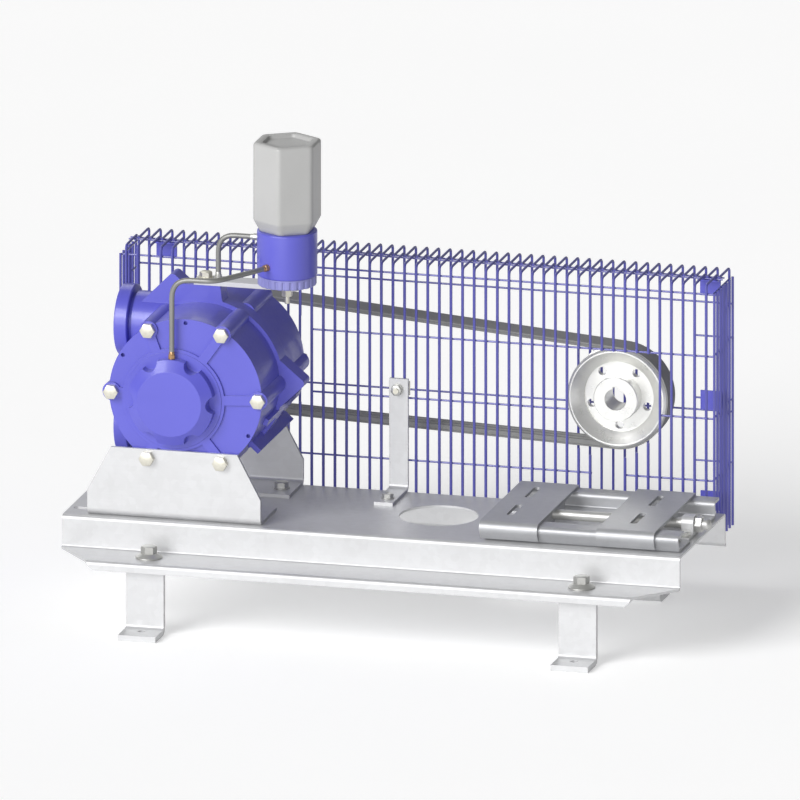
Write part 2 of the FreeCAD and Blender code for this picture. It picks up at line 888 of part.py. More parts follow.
def shaft():
    seat_start = chamber_front_y + rotor_end_gap
    seat_end = chamber_back_y - rotor_end_gap
    profile = [
        (0, shaft_front_y),
        (journal_r - 1.5, shaft_front_y),
        (journal_r, shaft_front_y + 1.5),
        (journal_r, seat_start),
        (rotor_seat_r, seat_start),
        (rotor_seat_r, seat_end),
        (journal_r, seat_end),
        (journal_r, shaft_step_y),
        (pulley_seat_r, shaft_step_y),
        (pulley_seat_r, pulley_hub_back_y + 1),
        (pulley_seat_r - 1.5, pulley_hub_back_y + 2.5),
        (0, pulley_hub_back_y + 2.5),
    ]
    body = turned_y(profile, shaft_x, shaft_z)
    return body.cut(pump_key(0.0))


def pump_key(play):
    half = 6.0
    low = shaft_z + pulley_seat_r - 5.0
    return box(shaft_x - half, shaft_x + half, 206.0, 252.0, low, low + 8.0 - play)


def rotor_r():
    offset = math.hypot(bore_x - shaft_x, bore_z - shaft_z)
    return bore_r - offset - rotor_tip_gap


def rotor():
    front = chamber_front_y + rotor_end_gap
    body = ring_y(rotor_r(), rotor_seat_r + fit_gap, front, chamber_back_y - rotor_end_gap)
    return body.cut([vane_slab(k, vane_gap) for k in range(vane_count)])


def vane_slab(k, play):
    """One vane drawn back into the rotor, leaning back from the radius by its offset."""
    y0 = chamber_front_y + rotor_end_gap
    y1 = chamber_back_y - rotor_end_gap
    tip = rotor_r() - 1.0
    outer = tip if play == 0.0 else tip + 5.0
    offset = 12.0
    half = vane_thick / 2.0 + play
    slab = box(tip - vane_depth - play, outer, y0, y1, offset - half, offset + half)
    slab.rotate(ORIGIN, AXIS_Y, 360.0 * k / vane_count)
    slab.translate(vec(shaft_x, 0, shaft_z))
    return slab


def pulley(x, z, belt_r, bore):
    """Grooved pulley: hub, web with round holes, bevelled rim and V grooves."""
    rim_r = belt_r - belt_band - 0.3
    front = drive_mid_y - rim_width / 2.0
    back = drive_mid_y + rim_width / 2.0
    web_back = pulley_web_front_y + pulley_web
    dish_r = rim_r - 25.8
    lip_r = rim_r - 6.2
    profile = [
        (bore, pulley_hub_front_y),
        (pulley_hub_r - 1.5, pulley_hub_front_y),
        (pulley_hub_r, pulley_hub_front_y + 1.5),
        (pulley_hub_r, pulley_web_front_y),
        (dish_r, pulley_web_front_y),
        (dish_r, pulley_web_front_y - 4),
        (lip_r, front),
        (rim_r - 4, front),
        (rim_r, front + 4),
    ]
    first = drive_mid_y - groove_pitch * (groove_count - 1) / 2.0
    for k in range(groove_count):
        mid = first + k * groove_pitch
        profile.append((rim_r, mid - groove_top / 2.0))
        profile.append((rim_r - groove_depth, mid - groove_bottom / 2.0))
        profile.append((rim_r - groove_depth, mid + groove_bottom / 2.0))
        profile.append((rim_r, mid + groove_top / 2.0))
    profile += [
        (rim_r, back - 4),
        (rim_r - 4, back),
        (lip_r, back),
        (dish_r, web_back + 3),
        (dish_r, web_back),
        (pulley_hub_r, web_back),
        (pulley_hub_r, pulley_hub_back_y),
        (bore, pulley_hub_back_y),
    ]
    body = turned_y(profile, x, z)
    cutters = []
    for k in range(lightening_count):
        angle = 2 * math.pi * k / lightening_count - math.pi / 2
        hole_x = x + lightening_circle_r * math.cos(angle)
        hole_z = z + lightening_circle_r * math.sin(angle)
        cutters.append(rod_y(lightening_r, pulley_web_front_y - 6, web_back + 6, hole_x, hole_z))
    return body.cut(cutters)


def motor_pulley():
    body = pulley(motor_x, motor_z, motor_belt_r, motor_bore_r)
    half = motor_key_width / 2.0
    top = motor_z + motor_bore_r + motor_key_rise
    keyway = box(motor_x - half, motor_x + half, 190.0, 270.0, motor_z, top)
    screw_hole = rod_z(4.0, motor_z, motor_z + pulley_hub_r + 1, motor_x, pulley_hub_front_y + 12.0)
    return body.cut([keyway, screw_hole])


def pump_pulley():
    body = pulley(shaft_x, shaft_z, pump_belt_r, pulley_seat_r + fit_gap)
    return body.cut(pump_key(-0.1))


def belt_section(x, z, belt_r, angle):
    """Comb-shaped cross-section of the belt where it leaves a pulley at the given angle."""
    half = belt_width / 2.0
    slope = (groove_top - groove_bottom) / (2 * groove_depth)
    top_half = groove_top / 2.0 - belt_play
    low_half = top_half - belt_rib * slope
    first = drive_mid_y - groove_pitch * (groove_count - 1) / 2.0
    corners = [(0.0, drive_mid_y + half), (0.0, drive_mid_y - half), (belt_band, drive_mid_y - half)]
    for k in range(groove_count):
        mid = first + k * groove_pitch
        corners.append((belt_band, mid - top_half))
        corners.append((belt_band + belt_rib, mid - low_half))
        corners.append((belt_band + belt_rib, mid + low_half))
        corners.append((belt_band, mid + top_half))
    corners.append((belt_band, drive_mid_y + half))
    points = []
    for depth, y in corners:
        radius = belt_r - depth
        points.append(vec(x + radius * math.cos(angle), y, z + radius * math.sin(angle)))
    return polygon_face(points)


def belt():
    """Two wrapped arcs and two straight runs, tangent to both pulleys."""
    dx = motor_x - shaft_x
    dz = motor_z - shaft_z
    lean = math.atan2(dz, dx)
    spread = math.acos((pump_belt_r - motor_belt_r) / math.hypot(dx, dz))
    run = math.sqrt(dx ** 2 + dz ** 2 - (pump_belt_r - motor_belt_r) ** 2)
    upper = lean + spread
    lower = lean - spread
    upper_run = vec(math.sin(upper), 0, -math.cos(upper)) * run
    lower_run = vec(math.sin(lower), 0, -math.cos(lower)) * run
    wrap = math.degrees(2 * spread)
    at_motor = belt_section(motor_x, motor_z, motor_belt_r, upper)
    at_pump = belt_section(shaft_x, shaft_z, pump_belt_r, lower)
    parts = [
        at_motor.revolve(vec(motor_x, 0, motor_z), AXIS_Y, wrap),
        belt_section(shaft_x, shaft_z, pump_belt_r, upper).extrude(upper_run),
        at_pump.revolve(vec(shaft_x, 0, shaft_z), AXIS_Y, 360.0 - wrap),
        belt_section(motor_x, motor_z, motor_belt_r, lower).extrude(lower_run),
    ]
    return join(parts)


def wire_places(first_x):
    return [first_x + k * wire_pitch for k in range(upright_count)]


def upright_spans(x):
    """Height ranges of one front upright, left out where the two openings are."""
    foot_z = deck_top - web_height
    spans = [(foot_z, guard_top_z)]
    pump_dx = abs(x - casing_x)
    motor_dx = x - motor_x
    if pump_dx < pump_opening_r - 1.0:
        half = math.sqrt(pump_opening_r ** 2 - pump_dx ** 2)
        spans = [(foot_z, casing_z - half), (casing_z + half, guard_top_z)]
    if -motor_opening_left < motor_dx < motor_opening_right:
        half = math.sqrt(motor_opening_r ** 2 - motor_dx ** 2)
        rail_above = min(z for z in front_rail_heights if z > motor_z + half)
        spans = [(rail_above - rail_wire / 2.0, guard_top_z)]
        if abs(motor_dx) > motor_slot_half:
            spans.append((foot_z, motor_z - half))
    return spans


def guard_front_uprights():
    wires = []
    for x in wire_places(front_first_x):
        for low, high in upright_spans(x):
            wires.append(hex_z(upright_wire, low, high, x, guard_front_y))
    return wires


def wire_gap(left_x, right_x):
    """Stretch between the two whole uprights just outside left_x and right_x."""
    left = max(x for x in wire_places(front_first_x) if x < left_x)
    right = min(x for x in wire_places(front_first_x) if x > right_x)
    return (left + upright_wire / 2.0, right - upright_wire / 2.0)


def rail_gaps(z):
    """Stretches along X where a front rail is cut away, from wire to wire."""
    gaps = []
    rise = abs(z - casing_z)
    if rise < pump_opening_r - 1.0:
        half = math.sqrt(pump_opening_r ** 2 - rise ** 2)
        gaps.append(wire_gap(casing_x - half, casing_x + half))
    if abs(z - motor_z) < motor_opening_r - 1.0:
        gaps.append(wire_gap(motor_x - motor_opening_left, motor_x + motor_opening_right))
    elif z < motor_z:
        gaps.append(wire_gap(motor_x - motor_slot_half, motor_x + motor_slot_half))
    return gaps


def guard_front_rails():
    y = guard_front_y + (upright_wire + rail_wire) / 2.0
    rails = []
    for z in front_rail_heights:
        start = -guard_half_len
        for left, right in rail_gaps(z):
            rails.append(hex_x(rail_wire, start, left, y, z, 30.0))
            start = right
        rails.append(hex_x(rail_wire, start, guard_half_len, y, z, 30.0))
    return rails


def guard_back_uprights():
    foot_z = deck_top - web_height
    return [hex_z(upright_wire, foot_z, guard_top_z, x, guard_back_y) for x in wire_places(back_first_x)]


def guard_back_rails():
    y = guard_back_y - (upright_wire + rail_wire) / 2.0
    rails = [hex_x(rail_wire, -guard_half_len, guard_half_len, y, z, 30.0) for z in back_rail_heights]
    for z in corner_rail_heights:
        rails.append(hex_x(rail_wire, -guard_half_len, back_first_x + 2.1 * wire_pitch, y, z, 30.0))
        rails.append(hex_x(rail_wire, guard_half_len - 3.3 * wire_pitch, guard_half_len, y, z, 30.0))
    return rails


def guard_mid_y():
    return (guard_front_y + guard_back_y) / 2.0


def returns(first_x, y0, y1, tie_y):
    """Bent-over upper ends of the uprights, with the long wire that ties them."""
    z = guard_top_z - upright_wire / 2.0
    wires = [hex_y(upright_wire, y0, y1, x, z) for x in wire_places(first_x)]
    tie_z = guard_top_z - upright_wire - rail_wire / 2.0
    wires.append(hex_x(rail_wire, -guard_half_len, guard_half_len, tie_y, tie_z))
    return wires


def guard_front_returns():
    start = guard_front_y + upright_wire / 2.0
    return returns(front_first_x, start, guard_mid_y() + return_overlap, guard_mid_y() - 6.0)


def guard_back_returns():
    end = guard_back_y - upright_wire / 2.0
    return returns(back_first_x, guard_mid_y() - return_overlap, end, guard_mid_y() + 6.0)


def guard_end(side):
    """End panel of the cage: corner and standing wires, and the short rails that tie them."""
    foot_z = deck_top - web_height
    x = side * guard_half_len
    rail_x = x - side * (upright_wire + rail_wire) / 2.0
    front_rail_y = guard_front_y + upright_wire / 2.0 + rail_wire
    back_rail_y = guard_back_y - upright_wire / 2.0 - rail_wire
    wires = [hex_z(upright_wire, foot_z, end_top_z, x, y) for y in (guard_front_y, guard_back_y)]
    for offset in end_wire_offsets:
        for y in (guard_front_y + offset, guard_back_y - offset):
            wires.append(hex_z(upright_wire, foot_z, end_top_z, x, y, 30.0))
    last = end_wire_offsets[-1] + upright_wire / 2.0
    for z in front_rail_heights[:-1]:
        wires.append(hex_y(rail_wire, front_rail_y, guard_front_y + last, rail_x, z, 30.0))
    for z in back_rail_heights + corner_rail_heights:
        wires.append(hex_y(rail_wire, guard_back_y - last, back_rail_y, rail_x, z, 30.0))
    wires.append(hex_y(rail_wire, front_rail_y, back_rail_y, rail_x, front_rail_heights[-1], 30.0))
    return wires


def guard_clips():
    """Small folded plates that hold the two halves of the cage together."""
    clips = []
    mid = guard_mid_y()
    top = guard_top_z - upright_wire - rail_wire - clip_sheet / 2.0
    line = [(mid - 10, top), (mid + 10, top), (mid + 10, top - top_clip_drop)]
    for x in (top_clip_left_inset - guard_half_len, guard_half_len - top_clip_right_inset):
        clips.append(bent_strip(line, clip_sheet, 1.0, x - top_clip_half, x + top_clip_half))
    half = side_clip_sheet / 2.0
    for side in (-1.0, 1.0):
        inner = side * (guard_half_len - upright_wire / 2.0)
        for z in side_clip_tops:
            plate = box(-side_clip_reach, 0.0, mid - half, mid + half, z - side_clip_tall, z)
            low = z - side_hook_tall
            hook = box(-side_clip_sheet, 0.0, mid - side_hook_half, mid + side_hook_half, low, z)
            clip = join([plate, hook])
            if side < 0:
                clip = clip.mirror(ORIGIN, AXIS_X)
            clip.translate(vec(inner, 0, 0))
            clips.append(clip)
    return clips


def guard_strap():
    mid = strap_sheet / 2.0
    line = [(strap_foot_y, deck_top + mid), (strap_y, deck_top + mid), (strap_y, strap_top_z)]
    half = strap_width / 2.0
    bar = bent_strip(line, strap_sheet, strap_sheet, strap_x - half, strap_x + half)
    cutters = [
        rod_z(m10_r + hole_play, deck_top - 1, deck_top + strap_sheet + 1, strap_x, strap_bolt_y),
        rod_y(m10_r + hole_play, strap_y - strap_sheet, strap_y + strap_sheet, clamp_x, clamp_z),
    ]
    return bar.cut(cutters)


def guard_clamp():
    back = guard_front_y + upright_wire / 2.0
    half = clamp_width / 2.0
    tall = clamp_height / 2.0
    plate = box(clamp_x - half, clamp_x + half, back, back + clamp_sheet, clamp_z - tall, clamp_z + tall)
    head = hex_y(m10_hex, back + clamp_sheet, back + clamp_sheet + m10_head, clamp_x, clamp_z)
    shank = rod_y(m10_r, strap_front_y() - 13.0, back + 1, clamp_x, clamp_z)
    return join([plate, head, shank])


def strap_front_y():
    return strap_y - strap_sheet / 2.0


def clamp_nut():
    face = strap_front_y()
    parts = [
        rod_y(10.5, face - 2.0, face, clamp_x, clamp_z),
        hex_y(m10_hex, face - 10.0, face - 2.0, clamp_x, clamp_z, 20.0),
    ]
    nut = join(parts)
    return nut.cut(rod_y(m10_r + fit_gap, face - 11.0, face + 1.0, clamp_x, clamp_z))


def rail_mid_z():
    return rail_top_z - rail_sheet / 2.0


def lip_mid_z():
    return deck_top + slide_gap + rail_sheet / 2.0


def carriage_rails():
    heights = [rail_mid_z(), rail_mid_z(), lip_mid_z(), lip_mid_z()]
    rails = []
    for line in (list(zip(front_rail_ys, heights)), list(zip(rear_rail_ys, heights))):
        rail = bent_strip(line, rail_sheet, rail_bend, rail_start_x, rail_end_x)
        holes = []
        for x, y in clamp_bolt_places():
            holes.append(rod_z(m12_r + hole_play, deck_top - 1, deck_top + 12, x, y))
        rails.append(rail.cut(holes))
    return rails


def saddle_plate(x, shift):
    """Cross plate over both rails, folded down over the leaning front one."""
    mid = rail_top_z + rail_sheet / 2.0
    line = list(zip(saddle_edge_ys, [mid, mid, saddle_hem_z]))
    left = x + shift - saddle_width / 2.0
    plate = bent_strip(line, rail_sheet, rail_bend + rail_sheet - 0.5, left, left + saddle_width)
    cutters = []
    for side in (-0.5, 0.5):
        y = motor_slot_y + side * motor_slot_gap
        cutters.append(slot_z(motor_slot_r, motor_slot_len, rail_top_z - 1, rail_top_z + 8, x, y, "y"))
    return plate.cut(cutters)


def saddle_plates():
    return [saddle_plate(saddle_left_x, saddle_shift), saddle_plate(saddle_right_x, 0.0)]


def nut_crossbar():
    lip_top = lip_mid_z() + rail_sheet / 2.0
    bar = box(crossbar_x, crossbar_x + crossbar_thick, -crossbar_half, crossbar_half, lip_top, rail_top_z)
    end_x = crossbar_x + crossbar_thick
    hole = rod_x(spindle_r + spindle_play, crossbar_x - 1, end_x + 1, spindle_y, spindle_z)
    return bar.cut(hole)


def clamp_bolt_places():
    places = []
    for x in (clamp_bolt_left_x, clamp_bolt_right_x):
        for side in (-1.0, 1.0):
            places.append((x, side * clamp_bolt_y))
    return places


def carriage_bolts():
    seat = lip_mid_z() + rail_sheet / 2.0
    tail = deck_top - base_sheet - 16.0
    bolts = []
    for x, y in clamp_bolt_places():
        bolts.append(plain_bolt_z(x, y, seat, m12_r, m12_hex, m12_head, 12.5, m12_washer, tail))
    return bolts


def carriage_nuts():
    top = deck_top - base_sheet - slide_gap
    nuts = []
    for x, y in clamp_bolt_places():
        washer = rod_z(m12_washer_r, top - m12_washer, top, x, y)
        nut = join([washer, hex_z(m12_hex, top - m12_washer - 10.0, top - m12_washer, x, y, 10.0)])
        nuts.append(nut.cut(rod_z(m12_r + fit_gap, top - 14, top + 1, x, y)))
    return nuts


def block_mid_x():
    return block_start_x + block_width / 2.0


def block_bolt_y():
    return spindle_y - block_half_depth - 14.0


def spindle_block():
    """Round-topped bearing block with one foot bolted to the deck."""
    end_x = block_start_x + block_width
    low = spindle_y - block_half_depth
    high = spindle_y + block_half_depth
    body = box(block_start_x, end_x, low, high, deck_top, block_top_z)
    tops = [edge for edge in body.Edges if edge.BoundBox.ZMin > block_top_z - 0.1]
    tops = [edge for edge in tops if edge.BoundBox.XLength > 5.0]
    body = body.makeFillet(12.0, tops)
    foot_top = deck_top + block_foot_sheet
    foot_plate = box(block_start_x, end_x, low - block_foot, low + 1, deck_top, foot_top)
    whole = join([body, foot_plate])
    cutters = [
        rod_x(spindle_r + spindle_play, block_start_x - 1, end_x + 1, spindle_y, spindle_z),
        rod_z(m10_r + hole_play, deck_top - 1, foot_top + 1, block_mid_x(), block_bolt_y()),
    ]
    return whole.cut(cutters)


def tension_spindle():
    end_x = block_start_x + block_width
    nut_start = end_x + slide_gap
    nut_end = nut_start + spindle_nut
    screw = rod_x(spindle_r, spindle_start_x, nut_start, spindle_y, spindle_z)
    collar_end = block_start_x - slide_gap
    collar = rod_x(spindle_r + 1.5, collar_end - 5.5, collar_end, spindle_y, spindle_z)
    nut = hex_x(spindle_hex, nut_start, nut_end, spindle_y, spindle_z)
    tip_end = nut_end + spindle_tip
    stub = rod_x(spindle_dome_r, nut_end, tip_end, spindle_y, spindle_z)
    rim = [edge for edge in stub.Edges if edge.BoundBox.XMin > tip_end - 0.1]
    stub = stub.makeFillet(min(7.0, spindle_tip / 2.0, spindle_dome_r * 0.7), rim)
    return join([screw, collar, nut, stub])


def top_union_x():
    return casing_x + top_union_offset


def oil_hole_r():
    return tube_r - 1.0


def lube_bracket():
    """Flat bar bolted to the pump's top lug, reaching out under the lubricator."""
    bar = box(
        casing_x - lube_bar_left,
        lube_x + lube_bar_right,
        lug_front_y,
        lug_back_y,
        lug_top_z,
        ring_bottom_z,
    )
    corners = [edge for edge in bar.Edges if edge.BoundBox.XMin > lube_x and edge.BoundBox.ZLength > 1.0]
    bar = bar.makeFillet(10.0, [edge for edge in corners if edge.BoundBox.YLength < 0.1])
    cutters = [
        rod_z(m12_r + hole_play, lug_top_z - 1, ring_bottom_z + 1, casing_x, lube_y),
        rod_z(union_shank_r(), lug_top_z - 1, ring_bottom_z + 1, top_union_x(), lube_y),
        rod_z(m10_r + hole_play, lug_top_z - 1, ring_bottom_z + 1, lube_x, lube_y),
    ]
    return bar.cut(cutters)


def lube_bracket_bolt():
    tail = lug_top_z - 15
    return plain_bolt_z(casing_x, lube_y, ring_bottom_z, m12_r - 0.1, m12_hex, 9.0, 13.0, m12_washer, tail)


def lube_stud():
    """Hexagon head under the bar, its screw up into the ring and a thin tail below."""
    head = lug_top_z - stud_head
    parts = [
        hex_z(m10_hex, head, lug_top_z, lube_x, lube_y),
        rod_z(m10_r, lug_top_z - 1, ring_bottom_z + 8, lube_x, lube_y),
        rod_z(m10_r - 0.5, head - stud_tail, head + 1, lube_x, lube_y),
    ]
    return join(parts)


def knurled_ring():
    top = ring_bottom_z + ring_height
    body = rod_z(ring_r, ring_bottom_z, top, lube_x, lube_y)
    cutters = []
    for k in range(ring_teeth):
        angle = 360.0 * k / ring_teeth
        cut = box(ring_r - tooth_depth, ring_r + 2, -2.2, 2.2, ring_bottom_z - 1, top - 2.5)
        cut.rotate(ORIGIN, AXIS_Z, angle)
        cut.translate(vec(lube_x, lube_y, 0))
        cutters.append(cut)
    cutters.append(rod_z(m10_r + fit_gap, ring_bottom_z - 1, ring_bottom_z + 9, lube_x, lube_y))
    return body.cut(cutters)


def body_bottom_z():
    return ring_bottom_z + ring_height


def body_top_z():
    return body_bottom_z() + lube_body_height


def lubricator_body():
    body = rod_z(lube_body_r, body_bottom_z(), body_top_z(), lube_x, lube_y)
    cutters = [rod_z(bottle_socket_r, body_top_z() - bottle_neck_depth - 2, body_top_z() + 1, lube_x, lube_y)]
    for start, outward in (front_union(), side_union()):
        cutters.append(rod_along(union_shank_r(), start.sub(outward * 9.0), start.add(outward * 2.0)))
    return body.cut(cutters)


def oil_bottle():
    """Hexagonal bottle standing on its neck, tapered at the shoulder, pocket in the top."""
    bottom = body_top_z() + bottle_gap
    shoulder = bottom + bottle_taper
    top = bottom + bottle_height
    flats = bottle_r * math.sqrt(3.0)
    base_flats = bottle_neck_base_r * math.sqrt(3.0)
    low = Part.makePolygon(hex_ring(base_flats, bottom))
    high = Part.makePolygon(hex_ring(flats, shoulder))
    cone = Part.makeLoft([low, high], True, True)
    upper = hex_z(flats, shoulder, top, lube_x, lube_y, 30.0)
    body = join([cone, upper])
    rims = []
    for edge in body.Edges:
        box_now = edge.BoundBox
        upright = box_now.ZMin > shoulder - 0.1 and box_now.ZLength > 10.0
        crown = box_now.ZMin > top - 0.1
        if upright or crown:
            rims.append(edge)
    body = body.makeFillet(bottle_round, rims)
    pocket = hex_z(flats * 0.72, top - bottle_pocket, top + 1, lube_x, lube_y, 30.0)
    neck = rod_z(bottle_neck_r, body_top_z() - bottle_neck_depth, bottom + 1, lube_x, lube_y)
    return join([body.cut(pocket), neck])


def hex_ring(across_flats, z):
    points = hex_points(across_flats, vec(lube_x, lube_y, z), AXIS_X, AXIS_Y, 30.0)
    return points + [points[0]]


def union_shank_r():
    return 5.0


def front_union():
    angle = math.radians(-116.0)
    outward = vec(math.cos(angle), math.sin(angle), 0)
    start = vec(lube_x, lube_y, body_bottom_z() + front_union_rise).add(outward * lube_body_r)
    return start, outward


def side_union():
    outward = vec(-1, 0, 0)
    start = vec(lube_x, lube_y, body_bottom_z() + side_union_rise).add(outward * lube_body_r)
    return start, outward


def cap_union():
    return vec(shaft_x, cap_union_y(), shaft_z + cap_skirt_r), AXIS_Z


def top_union():
    return vec(top_union_x(), lube_y, ring_bottom_z), AXIS_Z


def oil_union(start, outward):
    """Brass union: threaded shank in the hole, hexagon, and a collar for the tube."""
    side = outward.cross(AXIS_Z) if abs(outward.z) < 0.5 else AXIS_X
    second = outward.cross(side)
    shank = rod_along(union_shank_r() - fit_gap, start.sub(outward * 8.0), start.add(outward * 2.0))
    points = hex_points(union_hex, start.add(outward * 1.0), side, second)
    nut = polygon_face(points).extrude(outward * 8.0)
    collar = rod_along(tube_r + 1.0, start.add(outward * 8.0), start.add(outward * 14.0))
    whole = join([shank, nut, collar])
    return whole.cut(rod_along(tube_r + fit_gap, start.add(outward * 6.0), start.add(outward * 15.0)))


def oil_unions():
    return [oil_union(*place) for place in (cap_union(), front_union(), side_union(), top_union())]


def bent_tube(points):
    """Round tube through the points, with an arc of tube_bend at each corner."""
    edges = []
    here = points[0]
    for k in range(1, len(points) - 1):
        before = (points[k].sub(points[k - 1])).normalize()
        after = (points[k + 1].sub(points[k])).normalize()
        turn = before.getAngle(after)
        run = tube_bend * math.tan(turn / 2.0)
        start = points[k].sub(before * run)
        end = points[k].add(after * run)
        towards = (after.sub(before)).normalize()
        centre = points[k].add(towards * (tube_bend / math.cos(turn / 2.0)))
        middle = centre.sub(towards * tube_bend)
        edges.append(Part.makeLine(here, start))
        edges.append(Part.Arc(start, middle, end).toShape())
        here = end
    edges.append(Part.makeLine(here, points[-1]))
    path = Part.Wire(edges)
    first_dir = (points[1].sub(points[0])).normalize()
    ring = Part.Wire(Part.makeCircle(tube_r, points[0], first_dir))
    return path.makePipeShell([ring], True, True)


def front_oil_tube():
    low, up = cap_union()
    high, outward = front_union()
    corner = vec(low.x + 76.0, low.y - 2.5, high.z - 2.0)
    reach = high.add(outward * 8.0)
    points = [
        low.add(up * 7.0),
        vec(low.x, low.y, high.z - 4.0),
        corner,
        high.add(outward * 34.0),
        reach,
    ]
    return bent_tube(points)


def rear_oil_tube():
    low, up = top_union()
    high, outward = side_union()
    points = [low.add(up * 7.0), vec(low.x, low.y, high.z), high.add(outward * 7.0)]
    return bent_tube(points)


def deck_bolts():
    seat = deck_top + bracket_sheet
    tail = deck_top - base_sheet - 14.0
    bolts = []
    for x, y in bracket_bolt_places():
        bolts.append(plain_bolt_z(x, y, seat, m12_r, m12_hex, m12_head, m12_washer_r, m12_washer, tail))
    return bolts


def deck_nuts():
    nuts = []
    for x, y in bracket_bolt_places():
        top = deck_top - base_sheet
        washer = rod_z(m12_washer_r, top - m12_washer, top, x, y)
        nut = join([washer, hex_z(m12_hex, top - m12_washer - 10.0, top - m12_washer, x, y, 10.0)])
        nuts.append(nut.cut(rod_z(m12_r + fit_gap, top - 14, top + 1, x, y)))
    return nuts


def small_bolts():
    tail = deck_top - base_sheet - 10.0
    seat = deck_top + strap_sheet
    strap_bolt = plain_bolt_z(strap_x, strap_bolt_y, seat, m10_r, m10_hex, m10_head, 11.5, 2.0, tail)
    x = block_mid_x()
    y = block_bolt_y()
    seat = deck_top + block_foot_sheet
    block_bolt = plain_bolt_z(x, y, seat, m10_r, m10_hex, m10_head, 10.0, 2.0, tail)
    return [strap_bolt, block_bolt]


def small_nuts():
    top = deck_top - base_sheet
    places = [(strap_x, strap_bolt_y), (block_mid_x(), block_bolt_y())]
    return [nut_z(x, y, top, m10_r, m10_hex, 8.0) for x, y in places]


def nodes():
    feet = [foot(x, y) for x, y in foot_places(1.0)]
    return {
        "base_channel": [base_channel()],
        "feet": feet,
        "foot_bolts": [foot_bolt(x, y) for x, y in foot_places(foot_bolt_y)],
        "foot_nuts": [foot_nut(x, y) for x, y in foot_places(foot_bolt_y)],
        "pump_bracket_front": [front_bracket()],
        "pump_bracket_rear": [rear_bracket()],
        "bracket_bolts": deck_bolts(),
        "bracket_nuts": deck_nuts(),
        "front_cover": [front_cover()],
        "front_cap": [front_cap()],
        "stator_housing": [stator_housing()],
        "rear_cover": [rear_cover()],
        "seal_retainer": [seal_retainer()],
        "shaft_seal": [shaft_seal()],
        "tie_bolts": tie_bolts(),
        "tie_nuts": tie_nuts(),
        "inlet_flange": [port_flange(port_heights()[0])],
        "exhaust_flange": [port_flange(port_heights()[1])],
        "bearing_outer_rings": bearing_rings(bearing_outer_r - fit_gap, bearing_race_out),
        "bearing_inner_rings": bearing_rings(bearing_race_in, journal_r + fit_gap),
        "bearing_rollers": bearing_rollers(),
        "bearing_cages": bearing_cages(),
        "shaft": [shaft()],
        "rotor": [rotor()],
        "vanes": [vane_slab(k, 0.0) for k in range(vane_count)],
        "pulley_key": [pump_key(0.0)],
        "pump_pulley": [pump_pulley()],
        "motor_pulley": [motor_pulley()],
        "drive_belt": [belt()],
        "guard_front_uprights": guard_front_uprights(),
        "guard_front_rails": guard_front_rails(),
        "guard_front_returns": guard_front_returns(),
        "guard_back_uprights": guard_back_uprights(),
        "guard_back_rails": guard_back_rails(),
        "guard_back_returns": guard_back_returns(),
        "guard_left_end": guard_end(-1.0),
        "guard_right_end": guard_end(1.0),
        "guard_clips": guard_clips(),
        "guard_strap": [guard_strap()],
        "guard_clamp": [guard_clamp()],
        "clamp_nut": [clamp_nut()],
        "deck_bolts_small": small_bolts(),
        "deck_nuts_small": small_nuts(),
        "carriage_rails": carriage_rails(),
        "saddle_plates": saddle_plates(),
        "nut_crossbar": [nut_crossbar()],
        "carriage_bolts": carriage_bolts(),
        "carriage_nuts": carriage_nuts(),
        "spindle_block": [spindle_block()],
        "tension_spindle": [tension_spindle()],
        "lube_bracket": [lube_bracket()],
        "lube_bracket_bolt": [lube_bracket_bolt()],
        "lube_stud": [lube_stud()],
        "knurled_ring": [knurled_ring()],
        "lubricator_body": [lubricator_body()],
        "oil_bottle": [oil_bottle()],
        "oil_unions": oil_unions(),
        "front_oil_tube": [front_oil_tube()],
        "rear_oil_tube": [rear_oil_tube()],
    }


def solids_of(shapes):
    found = []
    for shape in shapes:
        found += shape.Solids
    return found


def main():
    os.makedirs("parts", exist_ok=True)
    for name, shapes in nodes().items():
        solids = solids_of(shapes)
        whole = solids[0] if len(solids) == 1 else Part.makeCompound(solids)
        whole.exportStep("parts/" + name + ".step")
        print(name, len(solids), "solids, valid", all(s.isValid() for s in solids), round(whole.Volume))


main()
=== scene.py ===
"""Dressed model of a belt-driven rotary vane pump unit.

Lengths are millimetres in the part's own frame: +X along the base, +Y to the belt side and
+Z up. They are turned into metres where a mesh is made.
"""

import logging
import math
from collections.abc import Callable
from dataclasses import dataclass, field
from enum import Enum
from itertools import product

